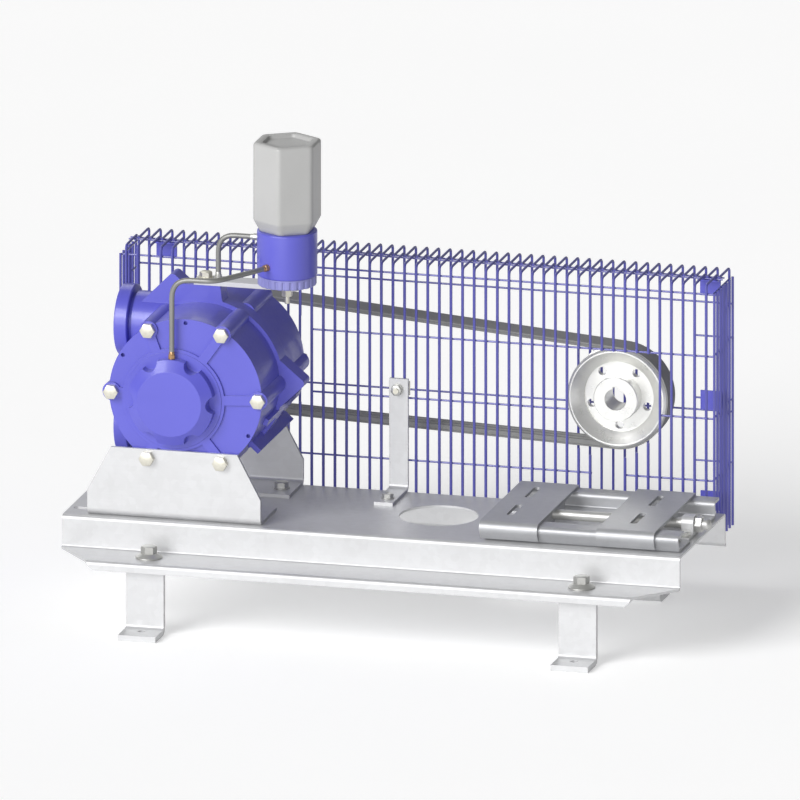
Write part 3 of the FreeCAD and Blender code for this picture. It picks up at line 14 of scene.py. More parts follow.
import bmesh
import bpy
import numpy as np
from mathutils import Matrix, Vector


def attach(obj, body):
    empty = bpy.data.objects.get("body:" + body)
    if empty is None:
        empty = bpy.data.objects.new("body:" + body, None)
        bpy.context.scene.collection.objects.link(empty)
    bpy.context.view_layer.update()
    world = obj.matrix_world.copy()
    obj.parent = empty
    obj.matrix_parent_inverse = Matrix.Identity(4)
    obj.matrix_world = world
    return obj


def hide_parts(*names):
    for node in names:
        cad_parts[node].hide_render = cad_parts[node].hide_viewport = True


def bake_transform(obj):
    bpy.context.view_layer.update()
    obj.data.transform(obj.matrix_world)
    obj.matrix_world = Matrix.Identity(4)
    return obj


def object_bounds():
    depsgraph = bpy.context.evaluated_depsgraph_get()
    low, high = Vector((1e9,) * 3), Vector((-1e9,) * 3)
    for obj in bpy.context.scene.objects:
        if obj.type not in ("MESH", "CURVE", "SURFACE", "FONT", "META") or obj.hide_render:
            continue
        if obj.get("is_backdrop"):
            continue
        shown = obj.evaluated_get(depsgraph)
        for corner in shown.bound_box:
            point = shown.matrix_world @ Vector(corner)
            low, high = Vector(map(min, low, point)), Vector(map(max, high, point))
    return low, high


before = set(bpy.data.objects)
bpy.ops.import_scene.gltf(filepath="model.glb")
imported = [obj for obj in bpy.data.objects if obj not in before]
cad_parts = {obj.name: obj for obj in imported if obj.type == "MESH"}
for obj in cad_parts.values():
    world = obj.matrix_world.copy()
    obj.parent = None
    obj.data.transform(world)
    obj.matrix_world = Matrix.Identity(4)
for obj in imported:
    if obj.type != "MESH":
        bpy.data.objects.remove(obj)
log = logging.getLogger("pump_unit")

MM = 0.001
BASE = "base_set"
CARRIAGE = "motor_carriage"

# Middles of both shafts and of the pump's casing, as (x, z)
PUMP_SHAFT = (-351.0, 391.5)
MOTOR_SHAFT = (334.5, 352.6)
CASING = (-330.5, 400.0)

# Points in a ring of each kind of turned piece
BARREL_RING, SPOUT_RING, SKIRT_RING, WASHER_RING = 96, 64, 56, 40
SHANK_RING, UNION_RING, STUD_RING = 28, 28, 24

Colour = tuple[float, float, float]
Point = tuple[float, float, float] | np.ndarray
Material = bpy.types.Material


class Axis(Enum):
    """Direction in which a turned or bolted piece points."""

    PLUS_Y = (0.0, 1.0, 0.0)
    MINUS_Y = (0.0, -1.0, 0.0)
    PLUS_Z = (0.0, 0.0, 1.0)
    MINUS_Z = (0.0, 0.0, -1.0)


# Shader maths


def maths(operation: str, swapped: bool = False) -> Callable:
    """Operator that puts a socket and another value through one Math node.

    Args:
        operation: the Math node's operation.
        swapped: whether the socket comes second, as in 1 - mask.

    Returns:
        The operator, as a method of Socket.
    """

    def method(self: "Socket", other: "Socket | float") -> "Socket":
        """The Math node's value."""
        return self.through(operation, *((other, self) if swapped else (self, other)))

    return method


class Socket:
    """A shader value that takes part in Python expressions.

    Args:
        graph: the material's node graph.
        output: the output socket that gives the value.
    """

    def __init__(self, graph: "Graph", output: bpy.types.NodeSocket) -> None:
        self.graph = graph
        self.output = output

    __add__, __radd__ = maths("ADD"), maths("ADD", True)
    __sub__, __rsub__ = maths("SUBTRACT"), maths("SUBTRACT", True)
    __mul__, __rmul__ = maths("MULTIPLY"), maths("MULTIPLY", True)
    __pow__, __rpow__ = maths("POWER"), maths("POWER", True)

    def through(self, operation: str, *values: "Socket | float") -> "Socket":
        """One Math node on the given values."""
        return self.graph.node("ShaderNodeMath", {"operation": operation}, dict(enumerate(values)))

    def sine(self) -> "Socket":
        """Sine of the value in radians."""
        return self.through("SINE", self)

    def root(self) -> "Socket":
        """Square root."""
        return self.through("SQRT", self)

    def clamped(self) -> "Socket":
        """The value kept between 0 and 1."""
        return self.graph.node("ShaderNodeClamp", {}, {0: self})


class Graph:
    """Node tree of one material.

    Args:
        name: the material's name.
    """

    def __init__(self, name: str) -> None:
        self.material = bpy.data.materials.new(name)
        self.material.use_nodes = True
        self.tree = self.material.node_tree
        self.tree.nodes.clear()
        self.out = self.tree.nodes.new("ShaderNodeOutputMaterial")

    def raw(self, kind: str, settings: dict, inputs: dict) -> bpy.types.Node:
        """Adds a node.

        Args:
            kind: the node's type.
            settings: its options, which are set first.
            inputs: values or links of its sockets, by index or name.

        Returns:
            The node.
        """
        node = self.tree.nodes.new(kind)
        for key, value in settings.items():
            setattr(node, key, value)
        for key, value in inputs.items():
            if isinstance(value, Socket):
                self.tree.links.new(value.output, node.inputs[key])
            else:
                node.inputs[key].default_value = value
        return node

    def node(self, kind: str, settings: dict, inputs: dict, output: int | str = 0) -> Socket:
        """Adds a node and gives one of its outputs as a value."""
        return Socket(self, self.raw(kind, settings, inputs).outputs[output])

    def place(self) -> Socket:
        """Object coordinates, in metres."""
        return self.node("ShaderNodeTexCoord", {}, {}, "Object")

    def parts(self, vector: Socket) -> list[Socket]:
        """The three parts of a vector."""
        split = self.raw("ShaderNodeSeparateXYZ", {}, {0: vector})
        return [Socket(self, split.outputs[i]) for i in range(3)]

    def stretched(self, vector: Socket, scale: tuple[float, float, float]) -> Socket:
        """Coordinates scaled by a different amount along each axis."""
        return self.node("ShaderNodeMapping", {}, {"Vector": vector, "Scale": scale})

    def noise(self, vector: Socket, scale: float, detail: float = 3.0) -> Socket:
        """Fractal noise from 0 to 1."""
        return self.node("ShaderNodeTexNoise", {}, {"Vector": vector, "Scale": scale, "Detail": detail})

    def cells(self, vector: Socket, scale: float) -> Socket:
        """One random grey for each cell of a Voronoi pattern."""
        colour = self.node("ShaderNodeTexVoronoi", {}, {"Vector": vector, "Scale": scale}, "Color")
        return self.parts(colour)[0]

    def blend(self, factor: Socket, first: Colour, second: Colour) -> Socket:
        """Colour between two colours."""
        inputs = {0: factor, 6: (*first, 1.0), 7: (*second, 1.0)}
        return self.node("ShaderNodeMix", {"data_type": "RGBA"}, inputs, 2)

    def soft_edges(self, radius: float) -> Socket:
        """Normal that rounds sharp edges by a radius in millimetres."""
        return self.node("ShaderNodeBevel", {"samples": 4}, {"Radius": radius * MM})

    def bump(self, height: Socket, depth: float, **under: Socket) -> Socket:
        """Normal from a height field, its full depth in millimetres, on the normal under it."""
        inputs = {"Height": height, "Distance": depth * MM, "Strength": 1.0}
        return self.node("ShaderNodeBump", {}, {**inputs, **under})

    def surface(self, **sockets: "Socket | float | tuple") -> Material:
        """Closes the graph with one Principled surface.

        Args:
            sockets: values or links, each under the name of its socket in small letters.

        Returns:
            The finished material.
        """
        named = {key.replace("_", " ").title(): value for key, value in sockets.items()}
        shader = self.raw("ShaderNodeBsdfPrincipled", {}, named)
        self.tree.links.new(shader.outputs[0], self.out.inputs[0])
        return self.material


# Finishes


@dataclass(frozen=True)
class Enamel:
    """Glossy blue-violet paint on castings or wire.

    Args:
        name: material name.
        light: colour where the coat is thick.
        deep: colour where it is thin.
        edge: rounding of edges, in millimetres, or nought for none.
        grain: depth of the casting's skin, in millimetres.
    """

    name: str
    light: Colour = (0.098, 0.098, 0.52)
    deep: Colour = (0.080, 0.080, 0.45)
    edge: float = 1.4
    grain: float = 0.10

    def make(self) -> Material:
        """Builds the material.

        Returns:
            The material.
        """
        graph = Graph(self.name)
        place = graph.place()
        cloud = graph.noise(place, 9.0, 2.0)
        skin = graph.noise(place, 420.0, 4.0)
        peel = graph.noise(place, 130.0, 2.0)
        under = {"Normal": graph.soft_edges(self.edge)} if self.edge > 0.0 else {}
        return graph.surface(
            base_color=graph.blend(cloud, self.deep, self.light),
            roughness=0.30 + peel * 0.12,
            coat_weight=0.35,
            coat_roughness=0.12,
            normal=graph.bump(skin * 0.6 + peel * 0.4, self.grain, **under),
        )


@dataclass(frozen=True)
class ZincSheet:
    """Zinc-plated sheet: satin metal with a faint rolled grain and cloudy passivation.

    Args:
        name: material name.
        light: colour of the bright patches.
        dark: colour of the dull ones.
        grain: the rolled grain's scale along each axis, small along the grain.
        edge: rounding of edges, in millimetres.
    """

    name: str
    light: Colour = (0.62, 0.625, 0.635)
    dark: Colour = (0.49, 0.49, 0.495)
    grain: tuple[float, float, float] = (8.0, 420.0, 420.0)
    edge: float = 0.8

    def make(self) -> Material:
        """Builds the material.

        Returns:
            The material.
        """
        graph = Graph(self.name)
        place = graph.place()
        rolled = graph.noise(graph.stretched(place, self.grain), 1.0, 4.0)
        cloud = graph.noise(place, 14.0, 3.0)
        spangle = graph.cells(place, 95.0)
        shade = (cloud * 0.55 + rolled * 0.25 + spangle * 0.20).clamped()
        return graph.surface(
            base_color=graph.blend(shade, self.dark, self.light),
            metallic=0.5,
            roughness=0.34 + cloud * 0.12 + rolled * 0.08,
            normal=graph.bump(rolled, 0.012, Normal=graph.soft_edges(self.edge)),
        )


@dataclass(frozen=True)
class Fastener:
    """Zinc on turned and forged fasteners, with a fine mottle.

    Args:
        name: material name.
        light: colour of the bright spots.
        dark: colour of the dull ones.
        edge: rounding of edges, in millimetres.
    """

    name: str
    light: Colour = (0.72, 0.70, 0.62)
    dark: Colour = (0.56, 0.54, 0.46)
    edge: float = 0.5

    def make(self) -> Material:
        """Builds the material.

        Returns:
            The material.
        """
        graph = Graph(self.name)
        mottle = graph.noise(graph.place(), 260.0, 3.0)
        return graph.surface(
            base_color=graph.blend(mottle, self.dark, self.light),
            metallic=0.72,
            roughness=0.30 + mottle * 0.14,
            normal=graph.bump(mottle, 0.02, Normal=graph.soft_edges(self.edge)),
        )


@dataclass(frozen=True)
class TurnedMetal:
    """Machined metal with fine tool rings round an axis along Y.

    Args:
        name: material name.
        shaft: the axis's place as (x, z), in millimetres.
        light: colour of the bright patches.
        dark: colour of the dull ones.
        feed: distance between two tool rings, in millimetres.
        edge: rounding of edges, in millimetres.
    """

    name: str
    shaft: tuple[float, float]
    light: Colour = (0.88, 0.88, 0.85)
    dark: Colour = (0.74, 0.74, 0.72)
    feed: float = 0.9
    edge: float = 0.7

    def make(self) -> Material:
        """Builds the material: the rings are a sine of the distance from the axis.

        Returns:
            The material.
        """
        graph = Graph(self.name)
        place = graph.place()
        across, _, up = graph.parts(place)
        x, z = self.shaft
        far = ((across - x * MM) ** 2.0 + (up - z * MM) ** 2.0).root()
        rings = (far * (2.0 * math.pi / (self.feed * MM))).sine() * 0.5 + 0.5
        haze = graph.noise(place, 40.0, 3.0)
        return graph.surface(
            base_color=graph.blend(haze, self.dark, self.light),
            metallic=0.75,
            roughness=0.22 + haze * 0.14 + rings * 0.04,
            normal=graph.bump(rings, 0.008, Normal=graph.soft_edges(self.edge)),
        )


@dataclass(frozen=True)
class Plain:
    """Moulded plastic or plain drawn metal with a light skin texture.

    Args:
        name: material name.
        light: main colour.
        dark: darker colour in the cloud.
        metallic: 0 for plastic, 1 for bare metal.
        roughness: mean roughness.
        skin: scale of the skin texture.
        depth: its depth, in millimetres.
        edge: rounding of edges, in millimetres.
    """

    name: str
    light: Colour
    dark: Colour
    metallic: float = 0.0
    roughness: float = 0.4
    skin: float = 500.0
    depth: float = 0.02
    edge: float = 0.6

    def make(self) -> Material:
        """Builds the material.

        Returns:
            The material.
        """
        graph = Graph(self.name)
        place = graph.place()
        fine = graph.noise(place, self.skin, 3.0)
        cloud = graph.noise(place, 18.0, 2.0)
        return graph.surface(
            base_color=graph.blend(cloud, self.dark, self.light),
            metallic=self.metallic,
            roughness=self.roughness - 0.06 + fine * 0.12,
            normal=graph.bump(fine, self.depth, Normal=graph.soft_edges(self.edge)),
        )


@dataclass(frozen=True)
class BeltRubber:
    """Grey belt rubber with a woven back and dusty wear.

    Args:
        name: material name.
        light: colour where dust lies.
        dark: colour of the bare rubber.
        thread: pitch of the weave, in millimetres.
    """

    name: str
    light: Colour = (0.26, 0.26, 0.255)
    dark: Colour = (0.20, 0.20, 0.195)
    thread: float = 1.6

    def make(self) -> Material:
        """Builds the material: the weave is a sine across times a sine along.

        Returns:
            The material.
        """
        graph = Graph(self.name)
        place = graph.place()
        across, along, _ = graph.parts(place)
        turn = 2.0 * math.pi / (self.thread * MM)
        weave = (across * turn).sine() * (along * turn).sine() * 0.5 + 0.5
        dust = graph.noise(place, 55.0, 4.0)
        return graph.surface(
            base_color=graph.blend(dust, self.dark, self.light),
            roughness=0.72 + dust * 0.18,
            normal=graph.bump(weave * 0.5 + dust * 0.5, 0.12),
        )


def made(finish: Enamel | ZincSheet | Fastener | TurnedMetal | Plain | BeltRubber) -> Material:
    """Dataclass field that holds the finish's material, made together with the others."""
    return field(default_factory=finish.make)


@dataclass
class Finishes:
    """Every material of the unit, made once."""

    paint: Material = made(Enamel("pump_enamel"))
    wire: Material = made(
        Enamel("guard_wire_coating", (0.080, 0.080, 0.36), (0.062, 0.062, 0.28), edge=0.0, grain=0.03)
    )
    sheet: Material = made(ZincSheet("rolled_zinc_sheet"))
    # Darker copy of the zinc sheet: painted shade for the carriage's rails and saddle plates, whose faces
    # lean back from the light
    carriage_sheet_painted_shade: Material = made(
        ZincSheet("carriage_zinc_sheet_painted_shade", (0.46, 0.465, 0.48), (0.355, 0.36, 0.375))
    )
    fastener: Material = made(Fastener("fastener_cream_zinc"))
    grey_fastener: Material = made(Fastener("fastener_grey_zinc", (0.58, 0.58, 0.56), (0.44, 0.44, 0.42)))
    motor_turned: Material = made(TurnedMetal("motor_pulley_turned", MOTOR_SHAFT))
    pump_turned: Material = made(TurnedMetal("pump_pulley_turned", PUMP_SHAFT))
    belt: Material = made(BeltRubber("belt_rubber"))
    bottle: Material = made(Plain("bottle_grey", (0.42, 0.42, 0.415), (0.38, 0.38, 0.375), roughness=0.38))
    ring: Material = made(Plain("ring_lavender", (0.25, 0.25, 0.54), (0.20, 0.20, 0.46), roughness=0.42))
    copper: Material = made(
        Plain("union_copper", (0.52, 0.32, 0.16), (0.40, 0.24, 0.12), metallic=0.8, roughness=0.32)
    )
    tube: Material = made(
        Plain("tube_grey", (0.27, 0.27, 0.26), (0.21, 0.21, 0.20), metallic=0.5, roughness=0.42, edge=0.1)
    )
    steel: Material = made(
        Plain("ground_steel", (0.56, 0.56, 0.54), (0.46, 0.46, 0.45), 0.6, 0.38, skin=300.0, depth=0.01)
    )
    seal: Material = made(Plain("lip_seal_rubber", (0.03, 0.03, 0.03), (0.02, 0.02, 0.02), roughness=0.7))
    vane: Material = made(Plain("vane_composite", (0.16, 0.09, 0.05), (0.11, 0.06, 0.03), roughness=0.5))


# Meshes from arrays


class Shell:
    """Collects grids of points and makes one closed, smooth-shaded piece of them."""

    def __init__(self) -> None:
        self.points: list[np.ndarray] = []
        self.quads: list[np.ndarray] = []
        self.count = 0

    def grid(self, points: np.ndarray, close_rows: bool = False, close_columns: bool = True) -> "Shell":
        """Adds copies of a grid.

        Args:
            points: array of copies x rows x columns x 3, or rows x columns x 3, in millimetres.
            close_rows: join the last row to the first.
            close_columns: join the last column to the first.

        Returns:
            The shell itself.
        """
        block = points if points.ndim == 4 else points[None]
        copies, rows, columns = block.shape[:3]
        index = np.arange(copies * rows * columns).reshape(copies, rows, columns) + self.count
        down = np.roll(index, -1, axis=1)
        right = np.roll(index, -1, axis=2)
        both = np.roll(down, -1, axis=2)
        last_row = rows if close_rows else rows - 1
        last_column = columns if close_columns else columns - 1
        quads = np.stack([index, right, both, down], axis=-1)[:, :last_row, :last_column]
        self.points.append(block.reshape(-1, 3))
        self.quads.append(quads.reshape(-1, 4))
        self.count += copies * rows * columns
        return self

    def piece(self, name: str, material: Material, angle: float = 35.0) -> bpy.types.Object:
        """Makes the object: doubles merged, faces turned outwards, sharp past an angle.

        Args:
            name: the object's name.
            material: its finish.
            angle: edges bent by more than this many degrees stay sharp.

        Returns:
            The object, at the origin.
        """
        mesh = bpy.data.meshes.new(name)
        points = np.concatenate(self.points) * MM
        mesh.from_pydata(points.tolist(), [], np.concatenate(self.quads).tolist())
        work = bmesh.new()
        work.from_mesh(mesh)
        bmesh.ops.remove_doubles(work, verts=work.verts, dist=0.002 * MM)
        bmesh.ops.recalc_face_normals(work, faces=work.faces)
        work.to_mesh(mesh)
        work.free()
        mesh.polygons.foreach_set("use_smooth", np.ones(len(mesh.polygons), bool))
        mesh.set_sharp_from_angle(angle=math.radians(angle))
        mesh.materials.append(material)
        piece = bpy.data.objects.new(name, mesh)
        bpy.context.scene.collection.objects.link(piece)
        return piece


def circle(count: int) -> np.ndarray:
    """Unit circle as count x 2: cosine and sine of equal steps of angle."""
    angle = np.arange(count) * 2.0 * math.pi / count
    return np.stack([np.cos(angle), np.sin(angle)], axis=-1)


def level(outline: np.ndarray, z: np.ndarray | float) -> np.ndarray:
    """Flat outline, count x 2, lifted to one height or to a height for each point."""
    return np.column_stack([outline, np.broadcast_to(z, len(outline))])


def placed(points: np.ndarray, origin: Point, axis: Axis | np.ndarray) -> np.ndarray:
    """Local points (cross, cross, along) turned to a direction and moved to an origin.

    The first cross direction is Z, or X where the direction itself is upright. The second is
    the direction times the first, as a cross product.

    Args:
        points: the local points.
        origin: where their origin goes.
        axis: the direction.

    Returns:
        The points in the part's frame.
    """
    along = np.array(axis.value) if isinstance(axis, Axis) else axis
    first = np.array((0.0, 0.0, 1.0)) if abs(along[2]) < 0.5 else np.array((1.0, 0.0, 0.0))
    return points @ np.stack([first, np.cross(along, first), along]) + np.asarray(origin, float)


def turned(profile: list | np.ndarray, origin: Point, axis: Axis | np.ndarray, count: int) -> np.ndarray:
    """Surface of revolution: each (radius, height) pair of a profile times a unit circle.

    Args:
        profile: the pairs, from one pole to the other.
        origin: where height nought is.
        axis: the way the heights grow.
        count: points in a ring.

    Returns:
        Rows of rings.
    """
    line = np.asarray(profile, float)
    cross = line[:, None, :1] * circle(count)[None]
    height = np.broadcast_to(line[:, None, 1:], (len(line), count, 1))
    return placed(np.concatenate([cross, height], axis=-1), origin, axis)


def eased(points: list, radius: float, steps: int) -> np.ndarray:
    """Polyline whose inner corners are rounded by quadratic curves.

    A corner at p between unit directions u and v, with a turn of a, gets the curve from
    p - u r tan(a/2) to p + v r tan(a/2) whose handle is p. A short run shortens the curve.

    Args:
        points: the polyline.
        radius: the r of the formula.
        steps: steps along each curve.

    Returns:
        The rounded line's points.
    """
    corners = np.asarray(points, float)
    t = np.linspace(0.0, 1.0, steps + 1)[:, None]
    pieces = [corners[:1]]
    for before, here, after in zip(corners[:-2], corners[1:-1], corners[2:]):
        into, away = here - before, after - here
        long_in, long_out = np.linalg.norm(into), np.linalg.norm(away)
        into, away = into / long_in, away / long_out
        turn = math.acos(float(np.clip(into @ away, -1.0, 1.0)))
        reach = min(radius * math.tan(turn / 2.0), 0.49 * long_in, 0.49 * long_out)
        start, end = here - into * reach, here + away * reach
        pieces.append((1 - t) ** 2 * start + 2 * t * (1 - t) * here + t**2 * end)
    pieces.append(corners[-1:])
    return np.concatenate(pieces)


def swept(path: np.ndarray, radius: float, sides: int, guide: Point, wide: float = 1.0) -> np.ndarray:
    """Rod along a path, closed at both ends.

    Each ring lies square to the path's direction; its first cross direction is the guide
    with the part along the path taken off. The end rings repeat with radius nought.

    Args:
        path: points of the middle line.
        radius: radius in the second cross direction.
        sides: points in a ring.
        guide: rough first cross direction.
        wide: radius in the first cross direction, as a share of the other.

    Returns:
        Rows of rings.
    """
    ahead = np.gradient(path, axis=0)
    ahead /= np.linalg.norm(ahead, axis=1, keepdims=True)
    lead = np.asarray(guide, float)
    first = lead - (ahead @ lead)[:, None] * ahead
    first /= np.linalg.norm(first, axis=1, keepdims=True)
    second = np.cross(ahead, first)
    ring = circle(sides) * radius * (wide, 1.0)
    rows = path[:, None] + ring[None, :, :1] * first[:, None] + ring[None, :, 1:] * second[:, None]
    start = np.broadcast_to(path[0], rows[:1].shape)
    end = np.broadcast_to(path[-1], rows[-1:].shape)
    return np.concatenate([start, rows, end])


def hexagon_radius(angle: np.ndarray, flats: float) -> np.ndarray:
    """Hexagon's radius: half the flats over the cosine of the angle from the nearest flat's middle."""
    sector = math.pi / 3.0
    return flats / 2.0 / np.cos((angle + sector / 2.0) % sector - sector / 2.0)


def hex_head(flats: float, height: float, turn: float = 0.0, per_side: int = 6) -> np.ndarray:
    """Hexagon head from nought to its height, its top cut by a 30 degree cone.

    The side wall ends where the cone meets it, which is lower at the corners, so the wall's
    upper edge is the row of arcs that such heads have.

    Args:
        flats: width across flats.
        height: the head's height.
        turn: its rotation, in degrees.
        per_side: points on each flat.

    Returns:
        Rows of rings.
    """
    angle = np.arange(6 * per_side) * math.pi / (3.0 * per_side)
    wall = hexagon_radius(angle, flats)
    flat_r = 0.47 * flats
    top = height - (wall - flat_r) * math.tan(math.radians(30.0))
    spin = angle + math.radians(turn)
    unit = np.stack([np.cos(spin), np.sin(spin)], axis=-1)
    none = np.zeros_like(wall)
    rings = [(none, 0.0), (wall, 0.0), (wall, top), (none + flat_r, height), (none, height)]
    return np.stack([level(unit * r[:, None], z) for r, z in rings])


# Fasteners and pieces


@dataclass(frozen=True)
class Hexagon:
    """Sizes of a hexagon bolt or nut, in millimetres.

    Args:
        flats: width across flats.
        height: height of the hexagon.
        washer_r: radius of the washer under it, or nought for none.
        washer: the washer's thickness.
        turn: rotation of the hexagon, in degrees.
        shank: radius of the shank, or nought for a nut.
        tail: how far the shank reaches below the seat.
        rim: bevel of the washer's rims.
    """

    flats: float
    height: float
    washer_r: float = 0.0
    washer: float = 0.0
    turn: float = 0.0
    shank: float = 0.0
    tail: float = 0.0
    rim: float = 0.4

    def add(self, shell: Shell, seat: Point, axis: Axis) -> None:
        """Adds the washer, the hexagon and the shank to a shell.

        Args:
            shell: the shell that takes them.
            seat: middle of the face that they stand on.
            axis: the way the hexagon points.
        """
        if self.washer_r > 0.0:
            outer, inner, top = self.washer_r, self.washer_r - self.rim, self.washer
            disc = [(0, 0), (inner, 0), (outer, self.rim), (outer, top - self.rim), (inner, top), (0, top)]
            shell.grid(turned(disc, seat, axis, WASHER_RING))
        raised = hex_head(self.flats, self.height, self.turn)
        raised[..., 2] += self.washer
        shell.grid(placed(raised, seat, axis))
        if self.shank > 0.0:
            r, end = self.shank, -self.tail
            rod = [(0, end), (r - 1.0, end), (r, end + 1.0), (r, 0.5), (0, 0.5)]
            shell.grid(turned(rod, seat, axis, SHANK_RING))


def settle(piece: bpy.types.Object, body: str, *nodes: str) -> None:
    """Puts a piece on its body, in place of the nodes it stands for, and reports it.

    Args:
        piece: the piece.
        body: the body on which it rides.
        nodes: the nodes that it replaces.
    """
    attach(piece, body)
    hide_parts(*nodes)
    log.info("%s rides on %s in place of %s", piece.name, body, ", ".join(nodes))


def settle_pair(word: str, shells: tuple[Shell, Shell], material: Material, body: str, *nodes: str) -> None:
    """Makes one piece of all bolts of a kind, and one of their nuts.

    Args:
        word: the kind, which both pieces' names start with.
        shells: the bolts and the nuts.
        material: their finish.
        body: the body on which they ride.
        nodes: the bolts' node and the nuts' node.
    """
    for shell, part, node in zip(shells, ("bolt", "nut"), nodes):
        settle(shell.piece(f"{word}_{part}_set", material), body, node)


def dress(material: Material, *nodes: str) -> None:
    """Gives carried-over nodes a finish, in every material slot they have.

    Args:
        material: the finish.
        nodes: the nodes' names.
    """
    for name in nodes:
        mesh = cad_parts[name].data
        if not mesh.materials:
            mesh.materials.append(material)
        for index in range(len(mesh.materials)):
            mesh.materials[index] = material
        log.info("%s is dressed with %s", name, material.name)


# Sub-assemblies


@dataclass
class Assembly:
    """A sub-assembly of the unit.

    Args:
        finish: the unit's materials.
    """

    finish: Finishes


@dataclass
class Guard(Assembly):
    """Wire cage round the belt: two meshes bent over at the top, two ends and clips."""

    front_y: float = 155.0
    back_y: float = 275.0
    foot_z: float = 127.0
    top_z: float = 580.0
    wire: float = 4.0
    rail: float = 3.0
    spread: float = 1.18
    sides: int = 8
    pitch: float = 20.36
    count: int = 51
    front_x: float = -511.0
    back_x: float = -503.0
    half: float = 521.0
    overlap: float = 8.0
    tie_offset: float = 6.0
    bend: float = 7.0
    bend_steps: int = 5
    end_top: float = 563.0
    end_offsets: tuple[float, ...] = (20.0, 40.0, 56.0)
    front_rails: tuple[float, ...] = (234.0, 343.0, 452.0, 561.0)
    back_rails: tuple[float, ...] = (327.0, 516.5)
    corner_rails: tuple[float, ...] = (238.0, 348.0, 457.0)
    corner_reach: tuple[float, float] = (2.1, 3.3)
    pump_hole_r: float = 146.0
    motor_hole_r: float = 92.0
    motor_reach: tuple[float, float] = (-65.0, 80.0)
    slot_half: float = 25.0
    margin: float = 1.0

    @property
    def mid_y(self) -> float:
        """Middle of the cage."""
        return (self.front_y + self.back_y) / 2.0

    @property
    def weld(self) -> float:
        """Distance between the middles of an upright and a rail welded to it."""
        return (self.wire + self.rail) / 2.0

    def places(self, first: float) -> np.ndarray:
        """X of every upright of a mesh."""
        return first + np.arange(self.count) * self.pitch

    def bent(self, y: float, low: float, end_y: float, x: np.ndarray) -> np.ndarray:
        """Uprights bent over at the top: one rod along an L, copied along X.

        Args:
            y: the standing part's place.
            low: height of its lower end.
            end_y: where the bent-over part ends.
            x: the copies' places.

        Returns:
            One grid for each copy.
        """
        top = self.top_z - self.wire / 2.0
        path = eased([(0, y, low), (0, y, top), (0, end_y, top)], self.bend, self.bend_steps)
        rod = swept(path, self.wire / 2.0, self.sides, (1.0, 0.0, 0.0), self.spread)
        return rod + x[:, None, None, None] * np.array((1.0, 0.0, 0.0))

    def upright(self, shell: Shell, x: float, y: float, low: float, high: float) -> None:
        """Adds one straight upright."""
        path = np.array([(x, y, low), (x, y, high)])
        shell.grid(swept(path, self.wire / 2.0, self.sides, (1.0, 0.0, 0.0), self.spread))

    def lying(self, shell: Shell, start: Point, end: Point, wide: float) -> None:
        """Adds one straight lying wire."""
        path = np.array([start, end])
        shell.grid(swept(path, self.rail / 2.0, self.sides, (0.0, 0.0, 1.0), wide))

    def tie(self, shell: Shell, y: float) -> None:
        """Adds the long wire under the bent-over tops."""
        z = self.top_z - self.wire - self.rail / 2.0
        self.lying(shell, (-self.half, y, z), (self.half, y, z), 1.0)

    def chord(self, away: np.ndarray, radius: float, inside: np.ndarray) -> np.ndarray:
        """Half height of a round opening at a distance from its middle, nought outside it."""
        return np.where(inside, np.sqrt(np.maximum(radius**2 - away**2, 0.0)), 0.0)

    def front_wires(self) -> None:
        """Front mesh: whole uprights, and those cut by the openings for pump and motor."""
        x = self.places(self.front_x)
        from_pump, from_motor = x - CASING[0], x - MOTOR_SHAFT[0]
        at_pump = np.abs(from_pump) < self.pump_hole_r - self.margin
        at_motor = (from_motor > self.motor_reach[0]) & (from_motor < self.motor_reach[1])
        pump = self.chord(from_pump, self.pump_hole_r, at_pump)
        motor = self.chord(from_motor, self.motor_hole_r, at_motor)
        low = np.where(pump > 0, CASING[1] + pump, self.foot_z)
        low = np.where(motor > 0, self.front_rails[2] - self.rail / 2.0, low)
        shell = Shell()
        end_y = self.mid_y + self.overlap
        whole = (pump == 0) & (motor == 0)
        shell.grid(self.bent(self.front_y, self.foot_z, end_y, x[whole]))
        for place, start in zip(x[~whole], low[~whole]):
            shell.grid(self.bent(self.front_y, start, end_y, np.array([place])))
        below = (pump > 0) | ((motor > 0) & (np.abs(from_motor) > self.slot_half))
        height = np.where(pump > 0, CASING[1] - pump, MOTOR_SHAFT[1] - motor)
        for place, stop in zip(x[below], height[below]):
            self.upright(shell, place, self.front_y, self.foot_z, stop)
        self.tie(shell, self.mid_y - self.tie_offset)
        piece = shell.piece("front_mesh_wires", self.finish.wire)
        settle(piece, BASE, "guard_front_uprights", "guard_front_returns")

    def back_wires(self) -> None:
        """Back mesh: uprights bent forwards at the top."""
        shell = Shell()
        x = self.places(self.back_x)
        shell.grid(self.bent(self.back_y, self.foot_z, self.mid_y - self.overlap, x))
        self.tie(shell, self.mid_y + self.tie_offset)
        piece = shell.piece("back_mesh_wires", self.finish.wire)
        settle(piece, BASE, "guard_back_uprights", "guard_back_returns")

    def stretches(self, z: float) -> list[tuple[float, float]]:
        """Stretches of a front rail that the openings leave, from wire to wire.

        Args:
            z: the rail's height.

        Returns:
            Start and end of each stretch.
        """
        x = self.places(self.front_x)
        pump_x, motor_x = CASING[0], MOTOR_SHAFT[0]
        cuts = []
        rise = abs(z - CASING[1])
        if rise < self.pump_hole_r - self.margin:
            half = math.sqrt(self.pump_hole_r**2 - rise**2)
            cuts.append((pump_x - half, pump_x + half))
        if abs(z - MOTOR_SHAFT[1]) < self.motor_hole_r - self.margin:
            cuts.append((motor_x + self.motor_reach[0], motor_x + self.motor_reach[1]))
        elif z < MOTOR_SHAFT[1]:
            cuts.append((motor_x - self.slot_half, motor_x + self.slot_half))
        found, start = [], -self.half
        for left, right in cuts:
            found.append((start, x[x < left].max() + self.wire / 2.0))
            start = x[x > right].min() - self.wire / 2.0
        return [*found, (start, self.half)]

